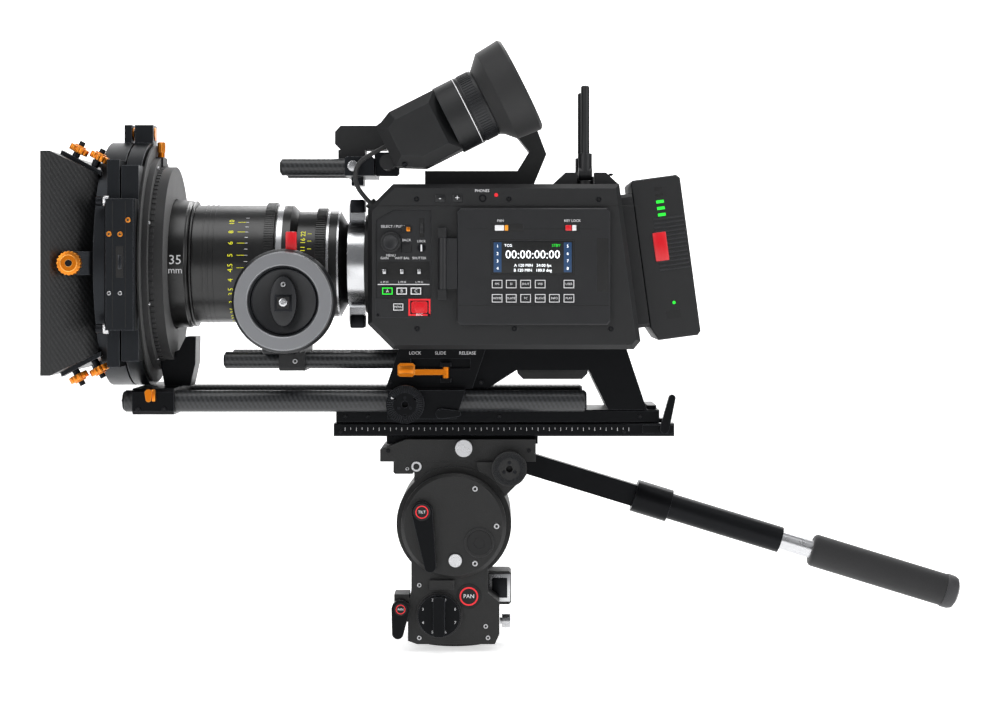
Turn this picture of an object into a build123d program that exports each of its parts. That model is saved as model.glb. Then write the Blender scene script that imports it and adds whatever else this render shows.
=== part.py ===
from build123d import *
import os
from math import atan, cos, degrees, radians, sin, tan

# Cinema camera rig on a fluid head, in millimetres.
# Origin: centre of the head's flat base, on the pan axis. +Z is up, the lens looks along -X, the
# operator stands on the -Y side.

# Clearances
RUNNING = 0.05  # radial, between a shaft and its bore
SLIDING = 0.3  # between moving faces that aren't a fit
KEY_GAP = 0.3  # around a key in its pocket

# Fluid head
flange_radius = 31.0
flange_height = 6.0
spindle_radius = 16.0
spindle_height = 18.0
tripod_thread = 9.525  # 3/8 inch
tripod_thread_depth = 14.0
housing_half_width = 40.0
housing_top = 51.0
housing_shoulder = 43.0
housing_waist = 30.0
head_half_depth = 58.0
cheek_inside = 47.5
cheek_left = -37.0
cheek_radius = 44.0
tilt_height = 110.4
drum_radius = 50.5
cover_radius = 46.0
cover_thickness = 8.0
shaft_radius = 12.0
neck_half_width = 35.0
platform_bottom = 164.8
platform_top = 184.3
platform_half_depth = 45.0
platform_front = -42.0
platform_rear = 72.0
nose_length = 23.0
slide_half_depth = 29.7
slide_bottom = 179.4
rosette_x = 48.7
rosette_z = 159.7
rosette_radius = 15.2
rosette_inside = 52.0
rosette_outside = 62.0

# Pan bar, fixed to the far rosette, running down to the rear
bar_slope = 17.0
bar_arm_thickness = 14.0
bar_tube_radius = 12.0
bar_inner_radius = 8.5
bar_tube_length = 108.0
bar_inner_length = 120.0
grip_radius = 15.0
grip_length = 140.0

# Base plates
dovetail_front = -106.0
dovetail_length = 300.0
dovetail_half_depth = 42.0
dovetail_bottom = 186.9
dovetail_top = 198.1
channel_half_depth = 25.0
channel_flare = 3.0
channel_depth = 5.0
bridge_front = -104.0
bridge_length = 285.0
bridge_half_depth = 40.0
bridge_top = 210.0
studio_rod_radius = 9.5
studio_rod_spacing = 104.0
studio_rod_height = 218.6
studio_rod_front = -288.0
studio_rod_length = 403.0
rod_block_front = -57.0
rod_block_rear = 10.5
rod_block_top = 229.0
rod_block_half_depth = 72.0
bridge_rosette_radius = 16.4
bridge_rosette_thickness = 10.0

# Quick-release base with the shoulder arch
base_top = 264.5
base_half_depth = 50.0
base_front_top = -48.0
base_front_bottom = -60.0
base_rear = 28.0
arch_half_depth = 40.0
arch_rear_top = 152.0
arch_rear_bottom = 170.0
arch_crown = 245.0
light_rod_radius = 7.5
top_rod_front = -153.2
top_rod_shoulder = -96.7
top_rod_spigot = 7.0
top_rod_height = 424.6
light_rod_spacing = 60.0
light_rod_height = 253.6
light_rod_front = -203.0
light_rod_rear = 10.0

# Camera
camera_front = -74.3
camera_half_depth = 75.0
camera_top = 408.0
camera_rear_top = 144.0
camera_rear_bottom = 162.5
camera_chamfer = 22.0
camera_edge = 4.0
optical_height = 339.0
rear_tilt = 7.7
panel_depth = 3.0
panel_left = -67.1
panel_right = -19.0
panel_top = 385.5
panel_step = 308.6
panel_bottom = 292.0
door_left = 3.3
door_right = 135.9
door_bottom = 285.8
door_top = 386.9
door_thickness = 5.5
door_gap = 0.6
hinge_x = -9.0
key_width = 9.5
key_height = 7.6
key_travel = 0.8

# Lens
lens_front = -257.0
front_radius = 57.2
barrel_radius = 52.6
core_radius = 44.0
focus_front = -230.6
focus_gear_front = -167.4
focus_gear_rear = -158.4
gear_radius = 54.6
iris_front = -138.6
iris_rear = -113.4
iris_radius = 47.0
iris_gear_radius = 49.5
rear_radius = 47.5
mount_front = -94.5
lock_radius = 40.0
mount_radius = 27.0

# Matte box
hood_front = -349.0
hood_rear = -306.0
hood_half_depth = 118.0
hood_half_height = 95.4
hood_wall = 2.0
hood_lip = 8.0
hood_rear_depth = 84.0
hood_rear_height = 77.0
knob_y = 74.0
stage_half_depth = 95.0
stage_half_height = 89.0
stage_radius = 108.7
stage_opening_depth = 144.0
stage_opening_height = 112.0
donut_radius = 87.0

# Eyepiece
eyepiece_tilt = 26.8
eyepiece_y = -55.0
eyepiece_x = 24.9
eyepiece_z = 479.0
eyepiece_radius = 28.5


def block(x, y, z):
    """A box between three pairs of limits."""
    centre = Pos((x[0] + x[1]) / 2, (y[0] + y[1]) / 2, (z[0] + z[1]) / 2)
    return centre * Box(x[1] - x[0], y[1] - y[0], z[1] - z[0])


def around(middle, size):
    """The two limits of a size centred on a place."""
    return (middle - size / 2, middle + size / 2)


def rod_x(radius, x, y, z):
    """A cylinder along X between two limits."""
    return Pos((x[0] + x[1]) / 2, y, z) * Rot(0, 90, 0) * Cylinder(radius, x[1] - x[0])


def rod_y(radius, y, x, z):
    """A cylinder along Y between two limits."""
    return Pos(x, (y[0] + y[1]) / 2, z) * Rot(90, 0, 0) * Cylinder(radius, y[1] - y[0])


def rod_z(radius, z, x, y):
    """A cylinder along Z between two limits."""
    return Pos(x, y, (z[0] + z[1]) / 2) * Cylinder(radius, z[1] - z[0])


def side_plate(points, y):
    """A plate with the given side outline in X and Z, between two Y limits."""
    outline = make_face(Plane.XZ * Polyline(*points, close=True))
    return Pos(0, y[1], 0) * extrude(outline, y[1] - y[0], dir=(0, -1, 0))


def turned(points, y=0.0, z=0.0):
    """A turned part about an axis along X; each point is a place along X and a radius."""
    return Pos(0, y, z) * revolve(make_face(Polyline(*points, close=True)), Axis.X)


def ring_x(outer, inner, x, y=0.0, z=0.0):
    """A plain ring about an axis along X."""
    return rod_x(outer, x, y, z) - rod_x(inner, (x[0] - 1, x[1] + 1), y, z)


def both_sides(solid):
    """A solid with its mirror image on the far side."""
    return [solid, mirror(solid, Plane.XZ)]


def save(name, *solids):
    """Writes one node, as one solid or as a group of separate solids."""
    found = [single for solid in solids for single in solid.solids()]
    whole = found[0] if len(found) == 1 else Compound(children=found)
    export_step(whole, f"parts/{name}.step")


# Fluid head: flange, pan housing and its controls


def tripod_flange():
    flange = rod_z(flange_radius, (0, flange_height), 0, 0)
    flange += rod_z(spindle_radius, (flange_height, flange_height + spindle_height), 0, 0)
    return flange - rod_z(tripod_thread / 2, (-1, tripod_thread_depth), 0, 0)


def pan_housing():
    left = -housing_half_width
    right = housing_half_width
    floor = flange_height + SLIDING
    lower_outline = [
        (left + 8, floor),
        (right - 4, floor),
        (right, floor + 9),
        (right, housing_shoulder),
        (housing_waist, housing_top),
        (housing_waist, tilt_height),
        (cheek_left, tilt_height),
        (cheek_left, housing_top),
        (left, housing_shoulder),
        (left, floor + 3),
    ]
    housing = side_plate(lower_outline, (-head_half_depth, head_half_depth))
    housing += rod_y(cheek_radius, (-head_half_depth, head_half_depth), 0, tilt_height)
    housing -= rod_y(drum_radius + 1.5, (-cheek_inside, cheek_inside), 0, tilt_height)
    housing -= rod_y(shaft_radius, (-100, 100), 0, tilt_height)
    spindle_top = flange_height + spindle_height + SLIDING
    housing -= rod_z(spindle_radius + RUNNING, (0, spindle_top), 0, 0)
    brake_lug = block((left - 12, left + 1), (-head_half_depth, -30), (26, 50))
    shelf = block((-20.8, 0.3), (-head_half_depth - 4, -head_half_depth + 1), (54.5, 62.7))
    drag_boss = rod_y(20.0, (-head_half_depth - 2, -head_half_depth + 1), -12.6, 31.9)
    housing += brake_lug + shelf + drag_boss
    shaft = rod_y(shaft_radius, (-head_half_depth, head_half_depth), 0, tilt_height)
    return housing + lamp_housing() + shaft


def lamp_housing():
    """The lamp and contacts of the bubble level, behind the pan housing's waist."""
    module = block((housing_waist - 6, 50.5), (-16, 16), (35, 64.6))
    module = chamfer(module.edges().filter_by(Axis.Y), 2)
    clear = rod_y(drum_radius + 1.5, (-cheek_inside, cheek_inside), 0, tilt_height)
    hollow = rod_z(spindle_radius + RUNNING, (0, 40), 0, 0)
    return module - clear - hollow


def drum_covers():
    inside = -head_half_depth
    outside = inside - cover_thickness
    near = rod_y(cover_radius, (outside, inside), 0, tilt_height)
    near = chamfer(near.edges().filter_by(GeomType.CIRCLE).group_by(Axis.Y)[0], 3)
    near += rod_y(12.8, (outside - 1.5, outside), 22.5, 96.0)
    far = mirror(near, Plane.XZ)
    near -= rod_y(6.0, (outside - 1, outside + 5), 1.6, 80.6)
    return [near, far]


def lever(hub, tip, hub_radius, tip_radius, y):
    """A flat lever with round ends, in a plane across Y."""
    circles = [Pos(*hub) * Circle(hub_radius), Pos(*tip) * Circle(tip_radius)]
    outline = make_hull([edge for circle in circles for edge in circle.edges()])
    return Pos(0, y[1], 0) * Rot(90, 0, 0) * extrude(outline, y[1] - y[0])


def tilt_brake_lever():
    face = -head_half_depth - cover_thickness - SLIDING
    return lever((-27.2, 123.4), (-20.0, 76.0), 9.0, 5.0, (face - 7, face))


def pan_brake_lever():
    face = -head_half_depth - SLIDING
    return lever((-46.0, 38.0), (-48.5, 17.0), 8.0, 5.0, (face - 8, face))


def pan_drag_knob():
    face = -head_half_depth - 2 - SLIDING
    knob = rod_y(18.3, (face - 4, face), -12.6, 31.9)
    grip = block((-17.6, -7.6), (face - 12, face - 4), (14.6, 49.2))
    grip = fillet(grip.edges().filter_by(Axis.Y), 3)
    return knob + grip


def counterbalance_knob():
    face = housing_half_width + SLIDING
    knob = rod_x(6.2, (face + 2, face + 9.5), 0, 12.0 + flange_height)
    return knob + rod_x(3.0, (face, face + 2), 0, 12.0 + flange_height)


def level_light_button():
    face = -head_half_depth - cover_thickness
    return rod_y(6.0 - SLIDING, (face - 2.5, face + 3), 1.6, 80.6)


# Tilting part of the head


def tilt_cradle():
    half = cheek_inside - 1
    drum = rod_y(drum_radius, (-half, half), 0, tilt_height)
    depth = (-platform_half_depth, platform_half_depth)
    neck = block((-neck_half_width, neck_half_width), depth, (tilt_height, platform_bottom))
    cradle = drum + neck
    arm_outline = [
        (20, platform_bottom),
        (rosette_x + 12, platform_bottom),
        (rosette_x + 15, rosette_z - 6),
        (42, 132),
        (30, 122),
    ]
    arm = side_plate(arm_outline, (-rosette_inside, rosette_inside))
    arm -= rod_y(cover_radius + 1.5, (-100, 100), 0, tilt_height)
    arm -= rod_y(drum_radius + 1, (-100, -half), 0, tilt_height)
    arm -= rod_y(drum_radius + 1, (half, 100), 0, tilt_height)
    cradle += arm
    for rosette in cradle_rosettes():
        cradle += rosette
    return cradle - rod_y(shaft_radius + RUNNING, (-100, 100), 0, tilt_height)


def cradle_rosettes():
    near = rod_y(rosette_radius, (-rosette_outside, -rosette_inside), rosette_x, rosette_z)
    near -= rod_y(3.0, (-100, -rosette_inside - 2), rosette_x, rosette_z)
    return both_sides(near)


def tilt_platform():
    outline = [
        (platform_front - nose_length, platform_bottom),
        (platform_rear, platform_bottom),
        (platform_rear, platform_top),
        (platform_front, platform_top),
        (platform_front - nose_length, platform_top - 9),
    ]
    platform = side_plate(outline, (-platform_half_depth, platform_half_depth))
    width = slide_half_depth + SLIDING
    channel = block((-100, 100), (-width, width), (slide_bottom, platform_top + 1))
    level = block((-53.3, -neck_half_width), (-platform_half_depth, -12), (154.0, platform_bottom + 1))
    level = chamfer(level.edges().filter_by(Axis.Y).group_by(Axis.Z)[0], 1.5)
    return platform - channel + level


def plate_release_knob():
    face = -platform_half_depth - SLIDING
    return rod_y(7.5, (face - 8, face), 8.7, 174.0 + 3)


# Pan bar


def along_bar(solid):
    """Places a solid drawn along X from the far rosette's centre."""
    return Pos(rosette_x, 0, rosette_z) * Rot(0, bar_slope, 0) * solid


bar_y = rosette_outside + SLIDING + bar_arm_thickness / 2
arm_length = 142.0


def pan_bar_arm():
    side = (rosette_outside + SLIDING, rosette_outside + SLIDING + bar_arm_thickness)
    hub = rod_y(rosette_radius, side, 0, 0)
    reach = block((0, arm_length), side, (-10, 10))
    knuckle = rod_x(bar_tube_radius + 3, (arm_length - 20, arm_length + 14), bar_y, 0)
    return along_bar(hub + reach + knuckle)


def pan_bar_tube():
    start = arm_length + 14
    outer = rod_x(bar_tube_radius, (start, start + bar_tube_length), bar_y, 0)
    bore = rod_x(bar_inner_radius + RUNNING, (start + 6, start + bar_tube_length + 1), bar_y, 0)
    return along_bar(outer - bore)


def pan_bar_extension():
    end = arm_length + 14 + bar_tube_length + 30
    inner = rod_x(bar_inner_radius, (end - bar_inner_length, end + 20), bar_y, 0)
    return along_bar(inner)


def pan_bar_grip():
    start = arm_length + 14 + bar_tube_length + 30
    grip = rod_x(grip_radius, (start, start + grip_length), bar_y, 0)
    grip = fillet(grip.edges().filter_by(GeomType.CIRCLE), 4)
    grip -= rod_x(bar_inner_radius, (start - 1, start + 20), bar_y, 0)
    return along_bar(grip)


def save_head():
    save("tripod_flange", tripod_flange())
    save("pan_housing", pan_housing())
    save("drum_covers", *drum_covers())
    save("tilt_brake_lever", tilt_brake_lever())
    save("pan_brake_lever", pan_brake_lever())
    save("pan_drag_knob", pan_drag_knob())
    save("counterbalance_knob", counterbalance_knob())
    save("level_light_button", level_light_button())
    save("tilt_cradle", tilt_cradle())
    save("tilt_platform", tilt_platform())
    save("plate_release_knob", plate_release_knob())
    save("pan_bar_arm", pan_bar_arm())
    save("pan_bar_tube", pan_bar_tube())
    save("pan_bar_extension", pan_bar_extension())
    save("pan_bar_grip", pan_bar_grip())


# Slide plate, dovetail and bridge plate


def slide_plate():
    return block((-60, 74), (-slide_half_depth, slide_half_depth), (slide_bottom, dovetail_bottom))


def dovetail_channel(gap):
    """The undercut channel's section, or the tongue's when the gap is negative."""
    half = channel_half_depth + gap
    floor = dovetail_top - channel_depth
    face = make_face(
        Plane.YZ
        * Polyline(
            (-half - channel_flare, floor),
            (half + channel_flare, floor),
            (half, dovetail_top),
            (-half, dovetail_top),
            close=True,
        )
    )
    return face


def dovetail_plate():
    rear = dovetail_front + dovetail_length
    depth = (-dovetail_half_depth, dovetail_half_depth)
    plate = block((dovetail_front, rear), depth, (dovetail_bottom, dovetail_top))
    plate = chamfer(plate.edges().filter_by(Axis.X), 1)
    plate -= Pos(dovetail_front, 0, 0) * extrude(dovetail_channel(0.3), dovetail_length, dir=(1, 0, 0))
    clamp_depth = (-dovetail_half_depth - 3, -dovetail_half_depth)
    clamp = block((rear - 28, rear - 0.5), clamp_depth, (189.8, 197.0))
    return plate + clamp + slide_plate()


def dovetail_stop_lever():
    pivot = (dovetail_front + dovetail_length - 9, 194.0)
    tip = (pivot[0] + 6.5, pivot[1] + 27)
    face = -dovetail_half_depth - 3 - SLIDING
    return lever(pivot, tip, 4.0, 3.0, (face - 6, face))


def bridge_plate():
    rear = bridge_front + bridge_length
    depth = (-bridge_half_depth, bridge_half_depth)
    floor = dovetail_top + SLIDING
    plate = block((bridge_front, rear), depth, (floor, bridge_top))
    plate = chamfer(plate.edges().filter_by(Axis.X), 1)
    tongue = extrude(dovetail_channel(0), bridge_length - 10, dir=(1, 0, 0))
    tongue_height = (dovetail_top - channel_depth + SLIDING, dovetail_top + 1)
    tongue &= block((-1, bridge_length), (-40, 40), tongue_height)
    tongue_depth = (-channel_half_depth, channel_half_depth)
    tongue_bridge = block((0, bridge_length - 10), tongue_depth, (dovetail_top - 1, floor + 1))
    plate += Pos(bridge_front + 5, 0, 0) * (tongue + tongue_bridge)
    stop = block((rear - 10, rear - 2), (-30, 30), (bridge_top, bridge_top + 3.5))
    return plate + stop


def rod_bridge():
    """The block that clamps both studio rods across the bridge plate."""
    depth = (-rod_block_half_depth, rod_block_half_depth)
    outline = [
        (rod_block_front, bridge_top),
        (rod_block_front, rod_block_top),
        (rod_block_rear, rod_block_top),
        (rod_block_rear - 8, bridge_top),
    ]
    whole = side_plate(outline, depth)
    ends = side_plate([(x, z - 6 if z == bridge_top else z) for x, z in outline], depth)
    ends -= block((-100, 100), (-bridge_half_depth - 1, bridge_half_depth + 1), (190, bridge_top))
    whole += ends
    for side in (-1, 1):
        whole -= rod_x(studio_rod_radius, (-200, 200), side * studio_rod_spacing / 2, studio_rod_height)
    for rosette in bridge_rosettes():
        whole += rosette
    return whole


def studio_rods():
    rods = []
    rear = studio_rod_front + studio_rod_length
    for side in (-1, 1):
        rod = rod_x(studio_rod_radius, (studio_rod_front, rear), side * studio_rod_spacing / 2, studio_rod_height)
        rods.append(chamfer(rod.edges().filter_by(GeomType.CIRCLE), 0.8))
    return rods


def bridge_rosettes():
    centre = (-41.6, 217.2)
    outside = -rod_block_half_depth - bridge_rosette_thickness
    near = rod_y(bridge_rosette_radius, (outside, -rod_block_half_depth), *centre)
    near -= rod_y(3.0, (outside - 1, outside + 8), *centre)
    for angle in (90, 210, 330):
        x = centre[0] + 11.0 * cos(radians(angle - 180))
        z = centre[1] + 11.0 * sin(radians(angle - 180))
        near -= rod_y(2.2, (outside - 1, outside + 5), x, z)
    return both_sides(near)


def bridge_clamp_lever():
    face = -rod_block_half_depth - SLIDING
    return lever((-10.6, 209.0), (4.0, 209.0), 4.5, 2.5, (face - 6, face))


# Quick-release base, shoulder arch and light rods


def quick_release_base():
    depth = (-base_half_depth, base_half_depth)
    outline = [
        (base_front_bottom, rod_block_top),
        (base_front_top, base_top),
        (base_rear, base_top),
        (base_rear - 12, rod_block_top),
    ]
    base = side_plate(outline, depth)
    slot = block((-37.9, 14.4), (-base_half_depth - 1, -base_half_depth + 6), (247.0, 255.6))
    base -= slot
    for side in (-1, 1):
        y = side * light_rod_spacing / 2
        base -= rod_x(light_rod_radius, (-100, light_rod_rear), y, light_rod_height)
    lugs = (-base_half_depth - 7, -base_half_depth + 7)
    for z in ((235.0, 238.5), (248.8, 252.0)):
        base += block((-11.5, -2.5), lugs, z)
    return base - rod_z(1.5 + RUNNING, (234.0, 253.0), -7.0, -base_half_depth - 3.6)


def shoulder_frame():
    depth = (-arch_half_depth, arch_half_depth)
    outline = [
        (base_rear - 12, rod_block_top),
        (base_rear, base_top),
        (arch_rear_top, base_top),
        (arch_rear_bottom, bridge_top),
        (arch_rear_bottom - 34, bridge_top),
        (119, arch_crown),
        (55, arch_crown),
        (30, rod_block_top),
    ]
    return side_plate(outline, depth)


def shoulder_pad():
    pad = block((56, 118), (-arch_half_depth + 5, arch_half_depth - 5), (arch_crown - 8, arch_crown))
    return chamfer(pad.edges().filter_by(Axis.Y).group_by(Axis.Z)[0], 5)


def light_rods():
    rods = []
    for side in (-1, 1):
        y = side * light_rod_spacing / 2
        rod = rod_x(light_rod_radius, (light_rod_front, light_rod_rear), y, light_rod_height)
        rods.append(chamfer(rod.edges().filter_by(GeomType.CIRCLE).group_by(Axis.X)[0], 0.8))
    return rods


def quick_release_lever():
    y = -base_half_depth - 3.6
    hub = rod_z(3.0, (238.8, 248.5), -7.0, y)
    hub += rod_z(1.5, (235.0, 252.0), -7.0, y)
    arm = block((-36, -7), (y - 3, y + 2), (241.5, 246.5))
    tab = block((-49, -34), (y - 4, y + 2), (240.0, 252.0))
    tab = chamfer(tab.edges().filter_by(Axis.Y), 2)
    return hub + arm + tab


def save_base():
    save("dovetail_plate", dovetail_plate())
    save("dovetail_stop_lever", dovetail_stop_lever())
    save("bridge_plate", bridge_plate())
    save("rod_bridge", rod_bridge())
    save("studio_rods", *studio_rods())
    save("bridge_clamp_lever", bridge_clamp_lever())
    save("quick_release_base", quick_release_base())
    save("shoulder_frame", shoulder_frame())
    save("shoulder_pad", shoulder_pad())
    save("light_rods", *light_rods())
    save("quick_release_lever", quick_release_lever())


# Camera body


def camera_outline(inset):
    """The camera's side outline, drawn in by the wall when hollow."""
    front = camera_front + inset
    top = camera_top - inset
    bottom = base_top + inset
    return [
        (front, bottom + camera_chamfer),
        (front, top - camera_chamfer),
        (front + camera_chamfer, top),
        (camera_rear_top - inset, top),
        (camera_rear_bottom - inset, bottom + 7),
        (camera_rear_bottom - inset - 6, bottom),
        (front + camera_chamfer, bottom),
    ]


panel_outline = [
    (panel_left, panel_bottom),
    (panel_left, panel_top - 9),
    (panel_left + 15, panel_top),
    (panel_right, panel_top),
    (panel_right, panel_bottom),
]


def camera_shell():
    shell = side_plate(camera_outline(0), (-camera_half_depth, camera_half_depth))
    shell = chamfer(shell.faces().sort_by(Axis.Y)[0].edges(), camera_edge)
    shell = chamfer(shell.faces().sort_by(Axis.Y)[-1].edges(), camera_edge)
    shell -= side_plate(camera_outline(12), (-camera_half_depth + 12, camera_half_depth - 12))
    boss = rod_x(44.0, (camera_front - 5, camera_front + 1), 0, optical_height)
    shell += boss - rod_x(mount_radius, (-100, 0), 0, optical_height)
    shell -= rod_x(mount_radius, (camera_front - 6, camera_front + 20), 0, optical_height)
    gland = Pos(-70.5, -57.0, 389.8) * Rot(0, -45, 0) * rod_z(5.0, (-3, 4), 0, 0)
    shell += gland
    pocket = (-camera_half_depth - 1, -camera_half_depth + panel_depth)
    shell -= side_plate(panel_outline, pocket)
    for low, high in ((308.0, 316.3), (361.3, 369.6)):
        lug_depth = (-camera_half_depth - 8.0, -camera_half_depth + 5)
        shell += block((hinge_x - 4, hinge_x + 3), lug_depth, (low, high))
    shell -= rod_z(1.5 + RUNNING, (307, 371), hinge_x, -camera_half_depth - 4.6)
    for side in (-1, 1):
        shell += rod_z(7.0, (camera_top - 1, camera_top + 4), 115.6, side * 40)
        for x in (86.0, 123.5):
            shell += side_plate(guard_outline(x), (side * 40 - 9, side * 40 + 9))
    return shell + battery_plate()


def guard_outline(x):
    """A low ramp that shields an antenna's foot on one side."""
    slope = 12 if x < 115 else -12
    foot = x if slope > 0 else x + 22
    head = x + 22 if slope > 0 else x
    return [(foot, camera_top), (foot + slope, camera_top + 11), (head, camera_top + 11), (head, camera_top)]


def control_panel():
    face = -camera_half_depth + 1.5
    back = -camera_half_depth + panel_depth
    panel = side_plate(panel_outline, (face, back))
    raised = (panel_bottom, panel_step)
    panel += block((panel_left, panel_right), (-camera_half_depth, face), raised)
    panel -= rod_y(3.0 + RUNNING, (-100, back + 1), -54.1, 357.4)
    for x, z, wide, high in [*panel_key_places(), (record_x, record_z, *record_size)]:
        hole_depth = (-100, back - key_floor)
        panel -= block(around(x, wide + 2 * KEY_GAP), hole_depth, around(z, high + 2 * KEY_GAP))
    for x in toggle_places:
        panel -= block(around(x, toggle_slot[0]), (-100, back - 0.4), around(toggle_z, toggle_slot[1]))
    return panel


record_x = -29.3
record_z = 301.0
record_size = (14.0, 10.4)
toggle_z = 332.0
toggle_places = (-59.6, -44.4, -29.5)
toggle_slot = (4.4, 13.0)
key_floor = 0.6


def panel_key_places():
    """Centre and size of each key on the panel."""
    keys = [(x, 315.1, key_width, key_height - 1.0) for x in (-57.0, -44.6, -32.3)]
    keys.append((-40.6, 352.4, 8.0, 6.5))
    keys.append((-47.6, 301.3, 9.0, 6.5))
    return keys


def panel_keys():
    keys = []
    for x, z, wide, high in panel_key_places():
        face = -camera_half_depth - 0.8 if z < 320 else -camera_half_depth + 0.4
        depth = (face, -camera_half_depth + panel_depth - key_floor - key_travel)
        keys.append(block(around(x, wide), depth, around(z, high)))
    return keys


def record_button():
    wide, high = record_size
    depth = (-camera_half_depth - 1.2, -camera_half_depth + panel_depth - 0.6 - key_travel)
    button = block(around(record_x, wide), depth, around(record_z, high))
    return fillet(button.edges().filter_by(Axis.Y), 2)


def menu_dial():
    face = -camera_half_depth + 1.5 - SLIDING
    dial = rod_y(8.7, (face - 6, face), -54.1, 357.4)
    dial = fillet(dial.edges().filter_by(GeomType.CIRCLE).group_by(Axis.Y)[0], 1)
    return dial + rod_y(3.0, (face, -camera_half_depth + panel_depth), -54.1, 357.4)


def setting_toggles():
    toggles = []
    for x in toggle_places:
        pivot = rod_x(1.0, (x - 1.6, x + 1.6), -camera_half_depth + 1.4, toggle_z)
        depth = (-camera_half_depth - 2.5, -camera_half_depth + 1.4)
        stick = block(around(x, 2.2), depth, around(toggle_z, 3.2))
        toggles.append(pivot + stick)
    return toggles


def sensor_module():
    body = block((-60, -44), (-32, 32), (optical_height - 29, optical_height + 29))
    body += block((-44, -30), (-42, 42), (optical_height - 34, optical_height + 34))
    window = block((-61, -54), (-18, 18), (optical_height - 12, optical_height + 12))
    foot = block((-44, -36), (-30, 30), (base_top + 16, optical_height - 34))
    return body - window + foot


def monitor_hinge():
    y = -camera_half_depth - 4.6
    hinge = rod_z(4.0, (316.6, 361.0), hinge_x, y)
    hinge += rod_z(1.5, (308.0, 369.6), hinge_x, y)
    inner = -camera_half_depth - door_gap
    return hinge + block((hinge_x, door_left), (inner - door_thickness, inner), (317.0, 360.6))


door_key_depth = 2.6


def door_key_places():
    """Two rows of keys below the screen."""
    columns = (38.0, 50.2, 62.6, 75.2, 87.4, 100.0)
    upper = [(x, 321.2) for x in columns if x != 87.4]
    return upper + [(x, 308.9) for x in columns]


def monitor_door():
    inner = -camera_half_depth - door_gap
    outer = inner - door_thickness
    door = block((door_left, door_right), (outer, inner), (door_bottom, door_top))
    door = chamfer(door.edges().filter_by(Axis.Y), 3)
    front = door.faces().sort_by(Axis.Y)[0]
    door = chamfer(front.edges(), 1)
    screen = block((34.0, 103.4), (outer - 1, outer + 1), (330.2, 358.4))
    door -= screen
    for x, z in door_key_places():
        hole_depth = (outer - 1, outer + door_key_depth)
        door -= block(around(x, key_width + 2 * KEY_GAP), hole_depth, around(z, key_height + 2 * KEY_GAP))
    return door + monitor_hinge()


def door_keys():
    outer = -camera_half_depth - door_gap - door_thickness
    keys = []
    depth = (outer - 0.8, outer + door_key_depth - key_travel)
    for x, z in door_key_places():
        keys.append(block(around(x, key_width), depth, around(z, key_height)))
    return keys


# Rear: battery plate and battery on the slanted back


def on_rear(solid):
    """Places a solid drawn with X away from the camera's slanted back and Z up along it."""
    middle = (camera_rear_top + camera_rear_bottom) / 2
    height = (camera_top + base_top + 7) / 2
    return Pos(middle, 0, height) * Rot(0, -rear_tilt, 0) * solid


battery_height = 142.0
battery_depth = 43.5
plate_thickness = 11.0


def battery_plate():
    plate = block((-1.5, plate_thickness), (-52, 52), (-58, 60))
    plate = chamfer(plate.edges().filter_by(Axis.X), 3)
    slot = block((plate_thickness - 5, plate_thickness + 1), (-12, 12), (-40, 61))
    return on_rear(plate - slot)


def battery_pack():
    front = plate_thickness + SLIDING
    half = battery_height / 2
    pack_outline = [
        (front, -half + 12),
        (front, half - 2),
        (front + 2, half),
        (front + battery_depth - 3, half),
        (front + battery_depth, half - 3),
        (front + battery_depth, -half + 3),
        (front + battery_depth - 3, -half),
        (front + 6, -half),
    ]
    pack = side_plate(pack_outline, (-50, 50))
    pack = chamfer(pack.faces().sort_by(Axis.Y)[0].edges(), 1)
    tongue_depth = (-12 + SLIDING, 12 - SLIDING)
    tongue = block((plate_thickness - 5 + SLIDING, front), tongue_depth, (-40 + SLIDING, 40))
    return on_rear(pack + tongue)


# Handle, rods and antennas on top


def top_handle():
    outline = [
        (-26.6, camera_top),
        (70, camera_top),
        (82, 437),
        (74, 458),
        (58, 477.5),
        (-50, 477.5),
        (-70, 462.5),
        (-102, 462.5),
        (-107, 457),
        (-107, 446),
        (-102, 441),
        (-62, 441),
        (-42, 456.5),
        (52.8, 456.5),
        (66.6, 439.2),
        (56, 422),
        (-26.6, 422),
    ]
    handle = side_plate(outline, (-14, 14))
    neck = block((-104, -80), (-14, 14), (433.2, 441))
    return handle + neck


def top_rod_block():
    holder = block((-96.2, -70.4), (-44, 44), (416.4, 433.2))
    holder += block((-92.3, -81.4), (-14, 14), (409, 416.4))
    holder = chamfer(holder.edges().filter_by(Axis.Y).group_by(Axis.Z)[-1], 1.5)
    for side in (-1, 1):
        holder -= rod_x(top_rod_spigot, (-100, -72), side * light_rod_spacing / 2, top_rod_height)
    return holder + eyepiece_bracket()


def top_rods():
    rods = []
    for side in (-1, 1):
        y = side * light_rod_spacing / 2
        rod = rod_x(light_rod_radius, (top_rod_front, top_rod_shoulder), y, top_rod_height)
        rod = chamfer(rod.edges().filter_by(GeomType.CIRCLE).group_by(Axis.X)[0], 0.8)
        rods.append(rod + rod_x(top_rod_spigot, (top_rod_shoulder, -72), y, top_rod_height))
    return rods


def antenna(side):
    pivot_height = camera_top + 4 + SLIDING + 6.0
    foot = rod_z(6.0, (pivot_height, 436.0), 115.6, side * 40)
    foot += rod_x(6.0, (109.6, 121.6), side * 40, pivot_height)
    whip = rod_z(3.8, (436.0, 496.0), 115.6, side * 40)
    whip = fillet(whip.edges().filter_by(GeomType.CIRCLE).group_by(Axis.Z)[-1], 2)
    return foot + whip


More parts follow.
